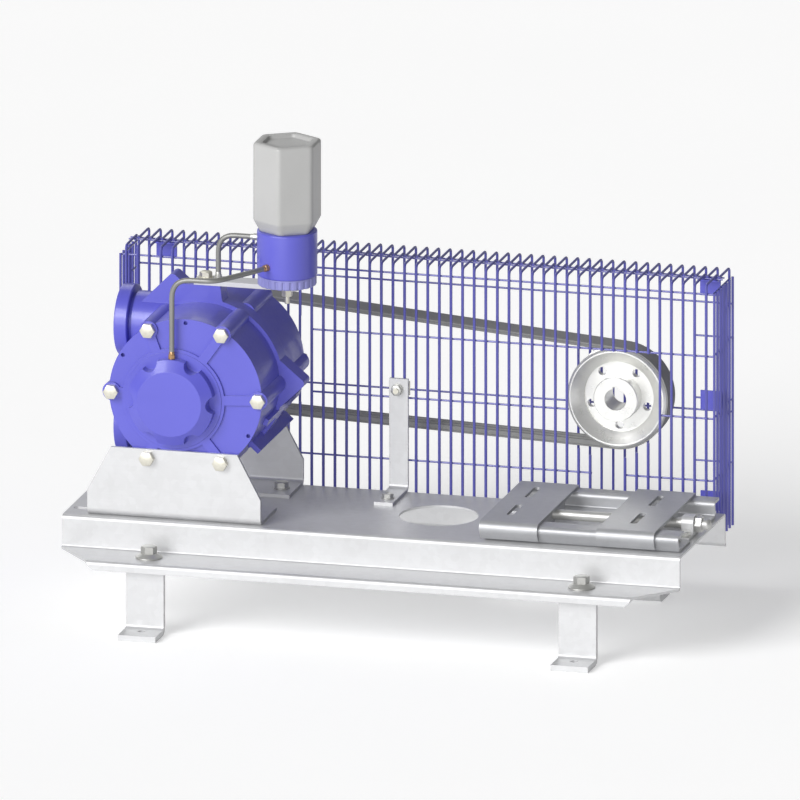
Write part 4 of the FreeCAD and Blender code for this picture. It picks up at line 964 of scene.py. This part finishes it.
    def rails(self) -> None:
        """Front and back rails, welded inside the uprights."""
        first, last = self.corner_reach
        fronts = [(z, *stretch) for z in self.front_rails for stretch in self.stretches(z)]
        backs = [(z, -self.half, self.half) for z in self.back_rails]
        for z in self.corner_rails:
            backs.append((z, -self.half, self.back_x + first * self.pitch))
            backs.append((z, self.half - last * self.pitch, self.half))
        for word, runs, y in (
            ("front", fronts, self.front_y + self.weld),
            ("back", backs, self.back_y - self.weld),
        ):
            shell = Shell()
            for z, start, end in runs:
                self.lying(shell, (start, y, z), (end, y, z), self.spread)
            settle(shell.piece(f"{word}_mesh_rails", self.finish.wire), BASE, f"guard_{word}_rails")

    def ends(self) -> None:
        """Standing wires and short rails of both end panels."""
        reach = self.end_offsets[-1] + self.wire / 2.0
        near, far = self.front_y + self.weld, self.back_y - self.weld
        runs = [(z, near, self.front_y + reach) for z in self.front_rails[:-1]]
        runs += [(z, self.back_y - reach, far) for z in self.back_rails + self.corner_rails]
        runs.append((self.front_rails[-1], near, far))
        for side, word in ((-1.0, "left"), (1.0, "right")):
            shell = Shell()
            for offset in (0.0, *self.end_offsets):
                for y in (self.front_y + offset, self.back_y - offset):
                    self.upright(shell, side * self.half, y, self.foot_z, self.end_top)
            x = side * (self.half - self.weld)
            for z, start, end in runs:
                self.lying(shell, (x, start, z), (x, end, z), self.spread)
            settle(shell.piece(f"{word}_end_wires", self.finish.wire), BASE, f"guard_{word}_end")

    def build(self) -> None:
        """Builds the whole guard."""
        self.front_wires()
        self.back_wires()
        self.rails()
        self.ends()
        dress(self.finish.paint, "guard_clips")
        dress(self.finish.sheet, "guard_strap")


@dataclass
class Belt(Assembly):
    """Ribbed belt round both pulleys."""

    pump_r: float = 104.3
    motor_r: float = 89.6
    mid_y: float = 237.0
    width: float = 48.0
    band: float = 2.5
    rib: float = 7.0
    pitch: float = 15.0
    rib_top: float = 11.2
    rib_slope: float = 0.3
    blunt: float = 0.6
    pump_steps: int = 61
    motor_steps: int = 49
    run_steps: int = 42

    def section(self) -> np.ndarray:
        """Comb outline as (depth, y): flat back, three V ribs with blunt tips.

        Returns:
            The outline's points.
        """
        half, tip = self.width / 2.0, self.band + self.rib
        low = self.rib_top / 2.0 - self.rib * self.rib_slope
        flank = [(self.band, self.rib_top / 2.0), (tip - self.blunt, low + 0.2), (tip, low - self.blunt)]
        rib = [(depth, -y) for depth, y in flank] + flank[::-1]
        points = [(0.5, half), (0.0, half - 0.5), (0.0, 0.5 - half), (0.5, -half), (self.band, -half)]
        for k in (-1, 0, 1):
            points += [(depth, k * self.pitch + y) for depth, y in rib]
        return np.array([*points, (self.band, half)])

    def route(self) -> tuple[np.ndarray, np.ndarray]:
        """Outer line of the belt and its outward normals.

        Two arcs about the pulleys joined by their outer tangents. A tangent touches both
        circles at the angle lean plus or minus spread, where cos(spread) is the difference of
        the radii over the distance of the centres.

        Returns:
            The line's points and the normals, as (x, z).
        """
        start, stop = np.array(PUMP_SHAFT), np.array(MOTOR_SHAFT)
        span = stop - start
        lean = math.atan2(span[1], span[0])
        spread = math.acos((self.pump_r - self.motor_r) / float(np.hypot(*span)))
        round_motor = np.linspace(lean + spread, lean - spread, self.motor_steps)
        round_pump = np.linspace(lean - spread, lean + spread - 2 * math.pi, self.pump_steps)
        t = np.linspace(0.0, 1.0, self.run_steps)[1:-1, None]
        under, over = np.full(len(t), round_motor[-1]), np.full(len(t), round_motor[0])
        angles = np.concatenate([round_motor, under, round_pump, over])
        normals = np.stack([np.cos(angles), np.sin(angles)], axis=-1)
        motor, pump = slice(0, self.motor_steps), slice(self.motor_steps + len(t), -len(t))
        arc_motor = stop + self.motor_r * normals[motor]
        arc_pump = start + self.pump_r * normals[pump]
        lower = arc_motor[-1] * (1 - t) + arc_pump[0] * t
        upper = arc_pump[-1] * (1 - t) + arc_motor[0] * t
        return np.concatenate([arc_motor, lower, arc_pump, upper]), normals

    def build(self) -> None:
        """Belt piece round both pulleys, baked into the part's frame."""
        line, normal = self.route()
        comb = self.section()
        flat = line[:, None] - comb[None, :, :1] * normal[:, None]
        y = np.broadcast_to(self.mid_y + comb[None, :, 1], flat.shape[:2])
        points = np.stack([flat[..., 0], y, flat[..., 1]], axis=-1)
        piece = Shell().grid(points, close_rows=True).piece("ribbed_belt", self.finish.belt, angle=25.0)
        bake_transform(piece)
        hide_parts("drive_belt")
        log.info("%s bends between %s and %s", piece.name, BASE, CARRIAGE)


@dataclass
class Pump(Assembly):
    """Vane pump: castings, cap, ports, tie bolts and what turns inside."""

    circle_r: float = 128.8
    front_y: float = -134.0
    rear_y: float = 140.0
    plate: float = 6.0
    flats: float = 23.0
    head: float = 10.0
    shank: float = 8.0
    nut: float = 12.0
    nut_play: float = 0.3

    def tie_bolts(self) -> None:
        """Six tie bolts; the lower two also hold the brackets' plates."""
        bolts, nuts = Shell(), Shell()
        for x, z in np.array(CASING) + self.circle_r * circle(6):
            plate = self.plate if z < CASING[1] - self.circle_r / 2.0 else 0.0
            front, rear = self.front_y - plate, self.rear_y + plate
            bolt = Hexagon(self.flats, self.head, shank=self.shank, tail=rear + self.nut - front)
            bolt.add(bolts, (x, front, z), Axis.MINUS_Y)
            Hexagon(self.flats, self.nut - self.nut_play, turn=10.0).add(nuts, (x, rear, z), Axis.PLUS_Y)
        settle_pair("tie", (bolts, nuts), self.finish.fastener, BASE, "tie_bolts", "tie_nuts")

    def build(self) -> None:
        """Dresses the castings and what turns inside, and builds the tie bolts."""
        dress(self.finish.paint, "front_cover", "front_cap", "stator_housing", "rear_cover")
        dress(self.finish.paint, "seal_retainer", "inlet_flange", "exhaust_flange")
        dress(self.finish.steel, "shaft", "rotor", "pulley_key")
        dress(self.finish.steel, "bearing_outer_rings", "bearing_inner_rings", "bearing_rollers")
        dress(self.finish.copper, "bearing_cages")
        dress(self.finish.seal, "shaft_seal")
        dress(self.finish.vane, "vanes")
        self.tie_bolts()


@dataclass
class Lubricator(Assembly):
    """Drip lubricator: toothed ring, body, hexagonal bottle, tubes and unions."""

    x: float = -188.0
    y: float = 3.5
    ring_z: float = 572.0
    ring_height: float = 17.0
    ring_r: float = 50.0
    teeth: int = 24
    tooth: float = 2.0
    tooth_steps: int = 10
    notch_half: float = 0.12
    notch_flank: float = 0.10
    body_r: float = 51.35
    body_height: float = 78.0
    body_rim: float = 2.5
    rim_steps: int = 5
    bottle_r: float = 60.6
    neck_r: float = 49.0
    taper: float = 21.0
    bottle_height: float = 156.0
    gap: float = 0.3
    rounding: float = 5.0
    corner_r: float = 9.0
    pocket: float = 6.0
    pocket_share: float = 0.72
    spout_r: float = 29.6
    spout: float = 18.0
    tube_r: float = 4.5
    tube_sides: int = 16
    bend: float = 34.0
    bend_steps: int = 8
    socket: float = 7.0
    first_bend_drop: float = 4.0
    second_bend: tuple[float, float, float] = (76.0, -2.5, -2.0)
    approach: tuple[float, float] = (34.0, 8.0)
    cap_union_y: float = -143.5
    cap_top: float = 466.5
    top_union_x: float = 21.8
    front_angle: float = -116.0
    front_rise: float = 21.0
    side_rise: float = 61.0
    lug_top: float = 564.0
    stud_r: float = 4.5
    stud_span: tuple[float, float] = (27.0, 13.0)
    thread_r: float = 5.0
    thread_span: tuple[float, float] = (-1.0, 16.0)
    bolt: Hexagon = Hexagon(19.0, 9.0, washer_r=13.0, washer=2.5, turn=40.0, shank=5.9, tail=23.0)
    stud_nut: Hexagon = Hexagon(17.0, 14.0)

    @property
    def body_z(self) -> float:
        """Bottom of the body."""
        return self.ring_z + self.ring_height

    def round_body(self, profile: list | np.ndarray, count: int) -> np.ndarray:
        """Surface of revolution about the lubricator's own axis."""
        return turned(profile, (self.x, self.y, 0.0), Axis.PLUS_Z, count)

    def stacked(self, rings: list[np.ndarray]) -> Shell:
        """Shell of rings drawn about the lubricator's own axis."""
        return Shell().grid(np.stack(rings) + np.array((self.x, self.y, 0.0)))

    def toothed_ring(self) -> None:
        """Ring whose rim dips between teeth: the radius falls by a tooth over part of each pitch."""
        count = self.teeth * self.tooth_steps
        phase = (np.arange(count) / self.tooth_steps) % 1.0
        notch = np.clip(1.0 - (np.abs(phase - 0.5) - self.notch_half) / self.notch_flank, 0.0, 1.0)
        r, low, high = self.ring_r, self.ring_z, self.body_z
        levels = [(0.0, low, 0), (r - 1.0, low, 1), (r, low + 1.0, 1), (r, high - 3.0, 1)]
        levels += [(r, high - 2.4, 0), (r, high - 0.6, 0), (r - 0.6, high, 0), (0.0, high, 0)]
        ring = circle(count)
        rings = [level(ring * (r - self.tooth * notch * cut)[:, None], z) for r, z, cut in levels]
        settle(self.stacked(rings).piece("toothed_ring", self.finish.ring, angle=30.0), BASE, "knurled_ring")

    def body(self) -> None:
        """Cylinder with soft rims."""
        r, low, high = self.body_r, self.body_z, self.body_z + self.body_height
        outline = eased([(0, low), (r, low), (r, high), (0, high)], self.body_rim, self.rim_steps)
        shell = Shell().grid(self.round_body(outline, BARREL_RING))
        settle(shell.piece("lubricator_barrel", self.finish.paint, angle=40.0), BASE, "lubricator_body")

    def rounded_hexagon(self, reach: float, count: int = 120) -> np.ndarray:
        """Hexagon with round corners.

        Near a corner the edge gives way to a circle that touches both flats, where that is
        nearer the middle.

        Args:
            reach: distance from the middle to a sharp corner.
            count: points round the hexagon.

        Returns:
            The outline, as count x 2.
        """
        rounding = min(self.corner_r, reach * 0.3)
        angle = np.arange(count) * 2.0 * math.pi / count
        edge = hexagon_radius(angle, reach * math.sqrt(3.0))
        corner = np.abs(angle % (math.pi / 3.0) - math.pi / 6.0)
        inset = reach - 2.0 * rounding / math.sqrt(3.0)
        side = inset * np.sin(corner)
        arc = inset * np.cos(corner) + np.sqrt(np.maximum(rounding**2 - side**2, 0.0))
        radius = np.where(side < rounding * 0.5, np.minimum(edge, arc), edge)
        return np.stack([np.cos(angle), np.sin(angle)], axis=-1) * radius[:, None]

    def bottle(self) -> None:
        """Bottle as a stack of rounded hexagons: neck taper, straight wall, soft rim, pocket."""
        low = self.body_z + self.body_height + self.gap
        high, wall = low + self.bottle_height, low + self.taper
        full, foot, soft = self.bottle_r, self.neck_r, self.rounding
        inner, floor = full * self.pocket_share, high - self.pocket
        levels = [(0.001, low), (foot - 1.0, low), (foot, low + 0.8)]
        ramp = np.linspace(0.0, 1.0, 6)[1:-1]
        levels += [(foot + (full - foot) * s, low + 0.8 + (self.taper - 0.8) * s) for s in ramp]
        levels += [(full - 0.6, wall - 0.8), (full, wall + 1.2), (full, high - soft)]
        turns = np.linspace(0.0, math.pi / 2.0, 7)[1:]
        levels += [(full - soft * (1 - math.cos(a)), high - soft * (1 - math.sin(a))) for a in turns]
        levels += [(inner + 1.5, high), (inner, high - 0.6), (inner - 1.2, floor + 1.0)]
        levels += [(inner - 2.6, floor), (0.001, floor)]
        shell = self.stacked([level(self.rounded_hexagon(reach), z) for reach, z in levels])
        r, end, top = self.spout_r, low - self.spout, low + 0.5
        spout = [(0, end), (r - 1.0, end), (r, end + 1.0), (r, top), (0, top)]
        shell.grid(self.round_body(spout, SPOUT_RING))
        settle(shell.piece("hexagonal_bottle", self.finish.bottle, angle=32.0), BASE, "oil_bottle")

    def unions(self) -> list[tuple[np.ndarray, np.ndarray]]:
        """Where the tubes end: on the cap, on the body's front and side, and on the casing's top.

        Returns:
            Seat and outward direction of each union.
        """
        angle = math.radians(self.front_angle)
        up, left = np.array((0.0, 0.0, 1.0)), np.array((-1.0, 0.0, 0.0))
        ahead = np.array((math.cos(angle), math.sin(angle), 0.0))
        middle = np.array((self.x, self.y, self.body_z))
        cap = np.array((PUMP_SHAFT[0], self.cap_union_y, self.cap_top))
        front = middle + ahead * self.body_r + up * self.front_rise
        side = middle + left * self.body_r + up * self.side_rise
        top = np.array((CASING[0] + self.top_union_x, self.y, self.ring_z))
        return [(cap, up), (front, ahead), (side, left), (top, up)]

    def build_unions(self) -> None:
        """Flange ring, hexagon and collar of each union, copper in front and plated behind."""
        cap, front, side, top = self.unions()
        flange = [(0, 0.0), (5.8, 0.0), (6.0, 0.3), (6.0, 1.2), (0, 1.2)]
        collar = [(0, 7.5), (4.9, 7.5), (4.9, 12.0), (4.4, 12.9), (0, 12.9)]
        head = hex_head(11.0, 7.0, per_side=5) + (0.0, 0.0, 1.0)
        for word, places, material in (
            ("front", (cap, front), self.finish.copper),
            ("rear", (side, top), self.finish.grey_fastener),
        ):
            shell = Shell()
            for seat, out in places:
                shell.grid(placed(head, seat, out))
                shell.grid(turned(flange, seat, out, UNION_RING))
                shell.grid(turned(collar, seat, out, UNION_RING))
            settle(shell.piece(f"{word}_tube_unions", material), BASE, "oil_unions")

    def tubes(self) -> None:
        """Bent metal tubes from union to union."""
        cap, front, side, top = self.unions()
        start = cap[0] + cap[1] * self.socket
        level_point = np.array((cap[0][0], cap[0][1], front[0][2]))
        over_cap = level_point - (0.0, 0.0, self.first_bend_drop)
        toward = level_point + self.second_bend
        ahead = [front[0] + front[1] * reach for reach in self.approach]
        ends = (top[0] + top[1] * self.socket, side[0] + side[1] * self.socket)
        for word, route, guide in (
            ("front", [start, over_cap, toward, *ahead], (0.8, -0.6, 0.0)),
            ("rear", [ends[0], (top[0][0], top[0][1], side[0][2]), ends[1]], (0.0, 1.0, 0.0)),
        ):
            path = eased(route, self.bend, self.bend_steps)
            rod = swept(path, self.tube_r, self.tube_sides, guide)
            piece = Shell().grid(rod).piece(f"{word}_tube", self.finish.tube, angle=50.0)
            settle(piece, BASE, f"{word}_oil_tube")

    def fixings(self) -> None:
        """Bolt of the flat bar, and the stud that holds the ring to it."""
        shell = Shell()
        self.bolt.add(shell, (CASING[0], self.y, self.ring_z), Axis.PLUS_Z)
        settle(shell.piece("bracket_bolt_top", self.finish.fastener), BASE, "lube_bracket_bolt")
        shell, under = Shell(), self.lug_top
        self.stud_nut.add(shell, (self.x, self.y, under), Axis.MINUS_Z)
        r, end, joint = self.stud_r, under - self.stud_span[0], under - self.stud_span[1]
        stud = [(0, end), (r - 0.8, end), (r, end + 1.0), (r, joint), (0, joint)]
        shell.grid(self.round_body(stud, STUD_RING))
        r, low, high = self.thread_r, under + self.thread_span[0], under + self.thread_span[1]
        shell.grid(self.round_body([(0, low), (r, low), (r, high), (0, high)], STUD_RING))
        settle(shell.piece("ring_stud", self.finish.fastener), BASE, "lube_stud")

    def build(self) -> None:
        """Builds the lubricator."""
        self.toothed_ring()
        self.body()
        self.bottle()
        self.build_unions()
        self.tubes()
        dress(self.finish.sheet, "lube_bracket")
        self.fixings()


@dataclass
class Frame(Assembly):
    """Base channel, feet, brackets and the bolts that hold them."""

    deck: float = 182.0
    sheet: float = 4.0
    plate: float = 6.0
    flange_z: float = 127.0
    foot_x: tuple[float, float] = (-379.5, 379.5)
    foot_y: tuple[float, float] = (-187.0, 187.0)
    foot_plate: float = 14.0
    skirt_rise: float = 6.0
    foot_bolt: Hexagon = Hexagon(24.0, 15.0, turn=45.0, shank=8.0, tail=40.0)
    foot_nut: Hexagon = Hexagon(24.0, 12.8)
    bracket_x: tuple[float, float] = (-476.0, -221.0)
    bracket_y: tuple[float, float] = (-100.0, 90.0)
    bracket_bolt: Hexagon = Hexagon(21.0, 9.5, 14.0, 2.5, turn=40.0, shank=6.0, tail=24.0)
    bracket_nut: Hexagon = Hexagon(19.0, 10.0, washer_r=14.0, washer=2.5, turn=10.0)
    strap_place: tuple[float, float] = (-30.5, 74.0)
    strap_bolt: Hexagon = Hexagon(17.0, 6.5, 11.5, 2.0, turn=40.0, shank=5.0, tail=20.0)
    block_place: tuple[float, float] = (520.5, -35.5)
    block_bolt: Hexagon = Hexagon(17.0, 6.5, 10.0, 2.0, turn=40.0, shank=5.0, tail=20.0)
    small_nut: Hexagon = Hexagon(17.0, 8.0, turn=10.0)
    clamp_seat: tuple[float, float, float] = (-32.5, 145.0, 360.0)
    clamp_nut: Hexagon = Hexagon(17.0, 8.0, washer_r=10.5, washer=2.0, turn=10.0, rim=0.3)

    def foot_bolts(self) -> None:
        """Flanged bolts on the base flange, and their nuts under the feet."""
        bolts, nuts = Shell(), Shell()
        skirt = [(0, 0), (22.4, 0), (23, 0.6), (23, 2.4), (22.2, 3.2), (15, 8.5), (0, 8.5)]
        for x, y in product(self.foot_x, self.foot_y):
            bolts.grid(turned(skirt, (x, y, self.flange_z), Axis.PLUS_Z, SKIRT_RING))
            self.foot_bolt.add(bolts, (x, y, self.flange_z + self.skirt_rise), Axis.PLUS_Z)
            self.foot_nut.add(nuts, (x, y, self.flange_z - self.foot_plate), Axis.MINUS_Z)
        settle_pair("foot", (bolts, nuts), self.finish.grey_fastener, BASE, "foot_bolts", "foot_nuts")

    def deck_bolts(self) -> None:
        """Bolts of the brackets, and the smaller ones of the strap and the spindle block."""
        places = product(self.bracket_x, self.bracket_y)
        four = [(place, self.bracket_bolt, self.bracket_nut) for place in places]
        two = [(self.strap_place, self.strap_bolt, self.small_nut)]
        two.append((self.block_place, self.block_bolt, self.small_nut))
        for word, rows, nodes in (
            ("bracket", four, ("bracket_bolts", "bracket_nuts")),
            ("small", two, ("deck_bolts_small", "deck_nuts_small")),
        ):
            bolts, nuts = Shell(), Shell()
            for place, bolt, nut in rows:
                bolt.add(bolts, (*place, self.deck + self.plate), Axis.PLUS_Z)
                nut.add(nuts, (*place, self.deck - self.sheet), Axis.MINUS_Z)
            settle_pair(word, (bolts, nuts), self.finish.grey_fastener, BASE, *nodes)

    def clamp(self) -> None:
        """Clamp plate behind the mesh, and the nut in front of the strap."""
        dress(self.finish.fastener, "guard_clamp")
        shell = Shell()
        self.clamp_nut.add(shell, self.clamp_seat, Axis.MINUS_Y)
        settle(shell.piece("strap_nut", self.finish.grey_fastener), BASE, "clamp_nut")

    def build(self) -> None:
        """Dresses the base's sheets and builds its fasteners."""
        dress(self.finish.sheet, "base_channel", "feet", "pump_bracket_front", "pump_bracket_rear")
        self.foot_bolts()
        self.deck_bolts()
        self.clamp()


@dataclass
class Carriage(Assembly):
    """Motor carriage, its clamping bolts, spindle and bearing block."""

    bolt_x: tuple[float, float] = (215.0, 510.0)
    bolt_y: tuple[float, float] = (-71.0, 71.0)
    seat_z: float = 187.3
    under_z: float = 177.7
    bolt: Hexagon = Hexagon(19.0, 8.0, washer_r=12.5, washer=2.5, turn=40.0, shank=6.0, tail=25.3)
    nut: Hexagon = Hexagon(19.0, 10.0, washer_r=14.0, washer=2.5, turn=10.0)

    def build(self) -> None:
        """Dresses the carriage and builds its bolts."""
        # Rails and saddle plates take the darker zinc copy, which is painted shade
        dress(self.finish.carriage_sheet_painted_shade, "carriage_rails", "saddle_plates")
        dress(self.finish.sheet, "nut_crossbar", "spindle_block")
        dress(self.finish.steel, "tension_spindle")
        bolts, nuts = Shell(), Shell()
        for x, y in product(self.bolt_x, self.bolt_y):
            self.bolt.add(bolts, (x, y, self.seat_z), Axis.PLUS_Z)
            self.nut.add(nuts, (x, y, self.under_z), Axis.MINUS_Z)
        nodes = ("carriage_bolts", "carriage_nuts")
        settle_pair("carriage", (bolts, nuts), self.finish.grey_fastener, CARRIAGE, *nodes)


@dataclass
class Drive(Assembly):
    """Pulleys on the pump shaft and the motor shaft."""

    def build(self) -> None:
        """Dresses both pulleys."""
        dress(self.finish.motor_turned, "motor_pulley")
        dress(self.finish.pump_turned, "pump_pulley")


# Studio


@dataclass(frozen=True)
class Lamp:
    """Wide soft lamp so far off that its light is even over the whole object.

    Args:
        name: the lamp's name.
        towards: direction from the object to the lamp.
        strength: light on a surface square to it, in watts a square metre.
        spread: its apparent width, in degrees.
        shadow: whether it casts shadows; the lamps that only lift the shade don't.
    """

    name: str
    towards: tuple[float, float, float]
    strength: float
    spread: float = 40.0
    shadow: bool = False

    def add(self) -> None:
        """Adds the lamp to the scene."""
        data = bpy.data.lights.new(self.name, "SUN")
        data.energy = self.strength
        data.angle = math.radians(self.spread)
        data.use_shadow = self.shadow
        lamp = bpy.data.objects.new(self.name, data)
        towards = self.towards
        lamp.location = Vector(towards) * 3.0
        lamp.rotation_euler = Vector(towards).to_track_quat("Z", "Y").to_euler()
        bpy.context.scene.collection.objects.link(lamp)


@dataclass
class Studio:
    """Pale floor, soft lamps and the camera of the photograph."""

    azimuth: float = 15.0
    elevation: float = 15.0
    aim: tuple[float, float, float] = (-0.0016, 0.0468, 0.3693)
    width: float = 1.356
    far: float = 4.0
    floor_half: float = 12000.0
    floor_z: float = -0.2
    lamps: tuple[Lamp, ...] = (
        Lamp("key_lamp", (-0.47, -0.74, 0.48), 2.5, 36.0, True),
        Lamp("front_lamp", (-0.10, -0.98, 0.20), 1.2),
        Lamp("back_lamp", (-0.45, 0.70, 0.55), 0.5),
    )

    def camera(self) -> None:
        """Camera with no perspective, aimed as in the photograph."""
        a, e = math.radians(self.azimuth), math.radians(self.elevation)
        back = np.array((math.sin(a) * math.cos(e), -math.cos(a) * math.cos(e), math.sin(e)))
        data = bpy.data.cameras.new("camera")
        data.type = "ORTHO"
        data.ortho_scale = self.width
        data.clip_start, data.clip_end = 0.05, 20.0
        camera = bpy.data.objects.new("camera", data)
        camera.location = np.array(self.aim) + back * self.far
        camera.rotation_euler = (math.radians(90.0 - self.elevation), 0.0, a)
        bpy.context.scene.collection.objects.link(camera)
        bpy.context.scene.camera = camera

    def floor(self) -> None:
        """Large pale floor under the feet."""
        graph = Graph("studio_floor")
        mottle = graph.noise(graph.place(), 2.0, 2.0)
        material = graph.surface(
            base_color=graph.blend(mottle, (0.93, 0.93, 0.93), (0.95, 0.95, 0.95)),
            roughness=0.9,
            emission_color=(1, 1, 1, 1),
            emission_strength=0.20,
        )
        step = np.linspace(-self.floor_half, self.floor_half, 3)
        x, y = np.meshgrid(step, step, indexing="ij")
        points = np.stack([x, y, np.full_like(x, self.floor_z)], axis=-1)
        floor = Shell().grid(points, close_columns=False).piece("studio_floor", material)
        floor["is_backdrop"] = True

    def world(self) -> None:
        """Even white surroundings."""
        world = bpy.data.worlds.new("studio_world")
        world.use_nodes = True
        background = world.node_tree.nodes["Background"]
        background.inputs["Color"].default_value = (1.0, 1.0, 1.0, 1.0)
        background.inputs["Strength"].default_value = 0.25
        bpy.context.scene.world = world

    def build(self) -> None:
        """Builds the studio."""
        self.camera()
        self.floor()
        self.world()
        for lamp in self.lamps:
            lamp.add()
        bpy.context.scene.view_settings.view_transform = "Standard"


def corners() -> list[list[float]]:
    """Lowest and highest corner of what is shown, as plain lists."""
    return [[float(v) for v in corner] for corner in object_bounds()]


def main() -> None:
    """Builds the unit's sub-assemblies in order."""
    logging.basicConfig(level=logging.INFO, format="%(message)s")
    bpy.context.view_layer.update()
    Studio().build()
    finish = Finishes()
    for kind in (Frame, Pump, Drive, Belt, Guard, Lubricator, Carriage):
        kind(finish).build()
        log.info("%s is done", kind.__name__)


if __name__ == "__main__":
    main()
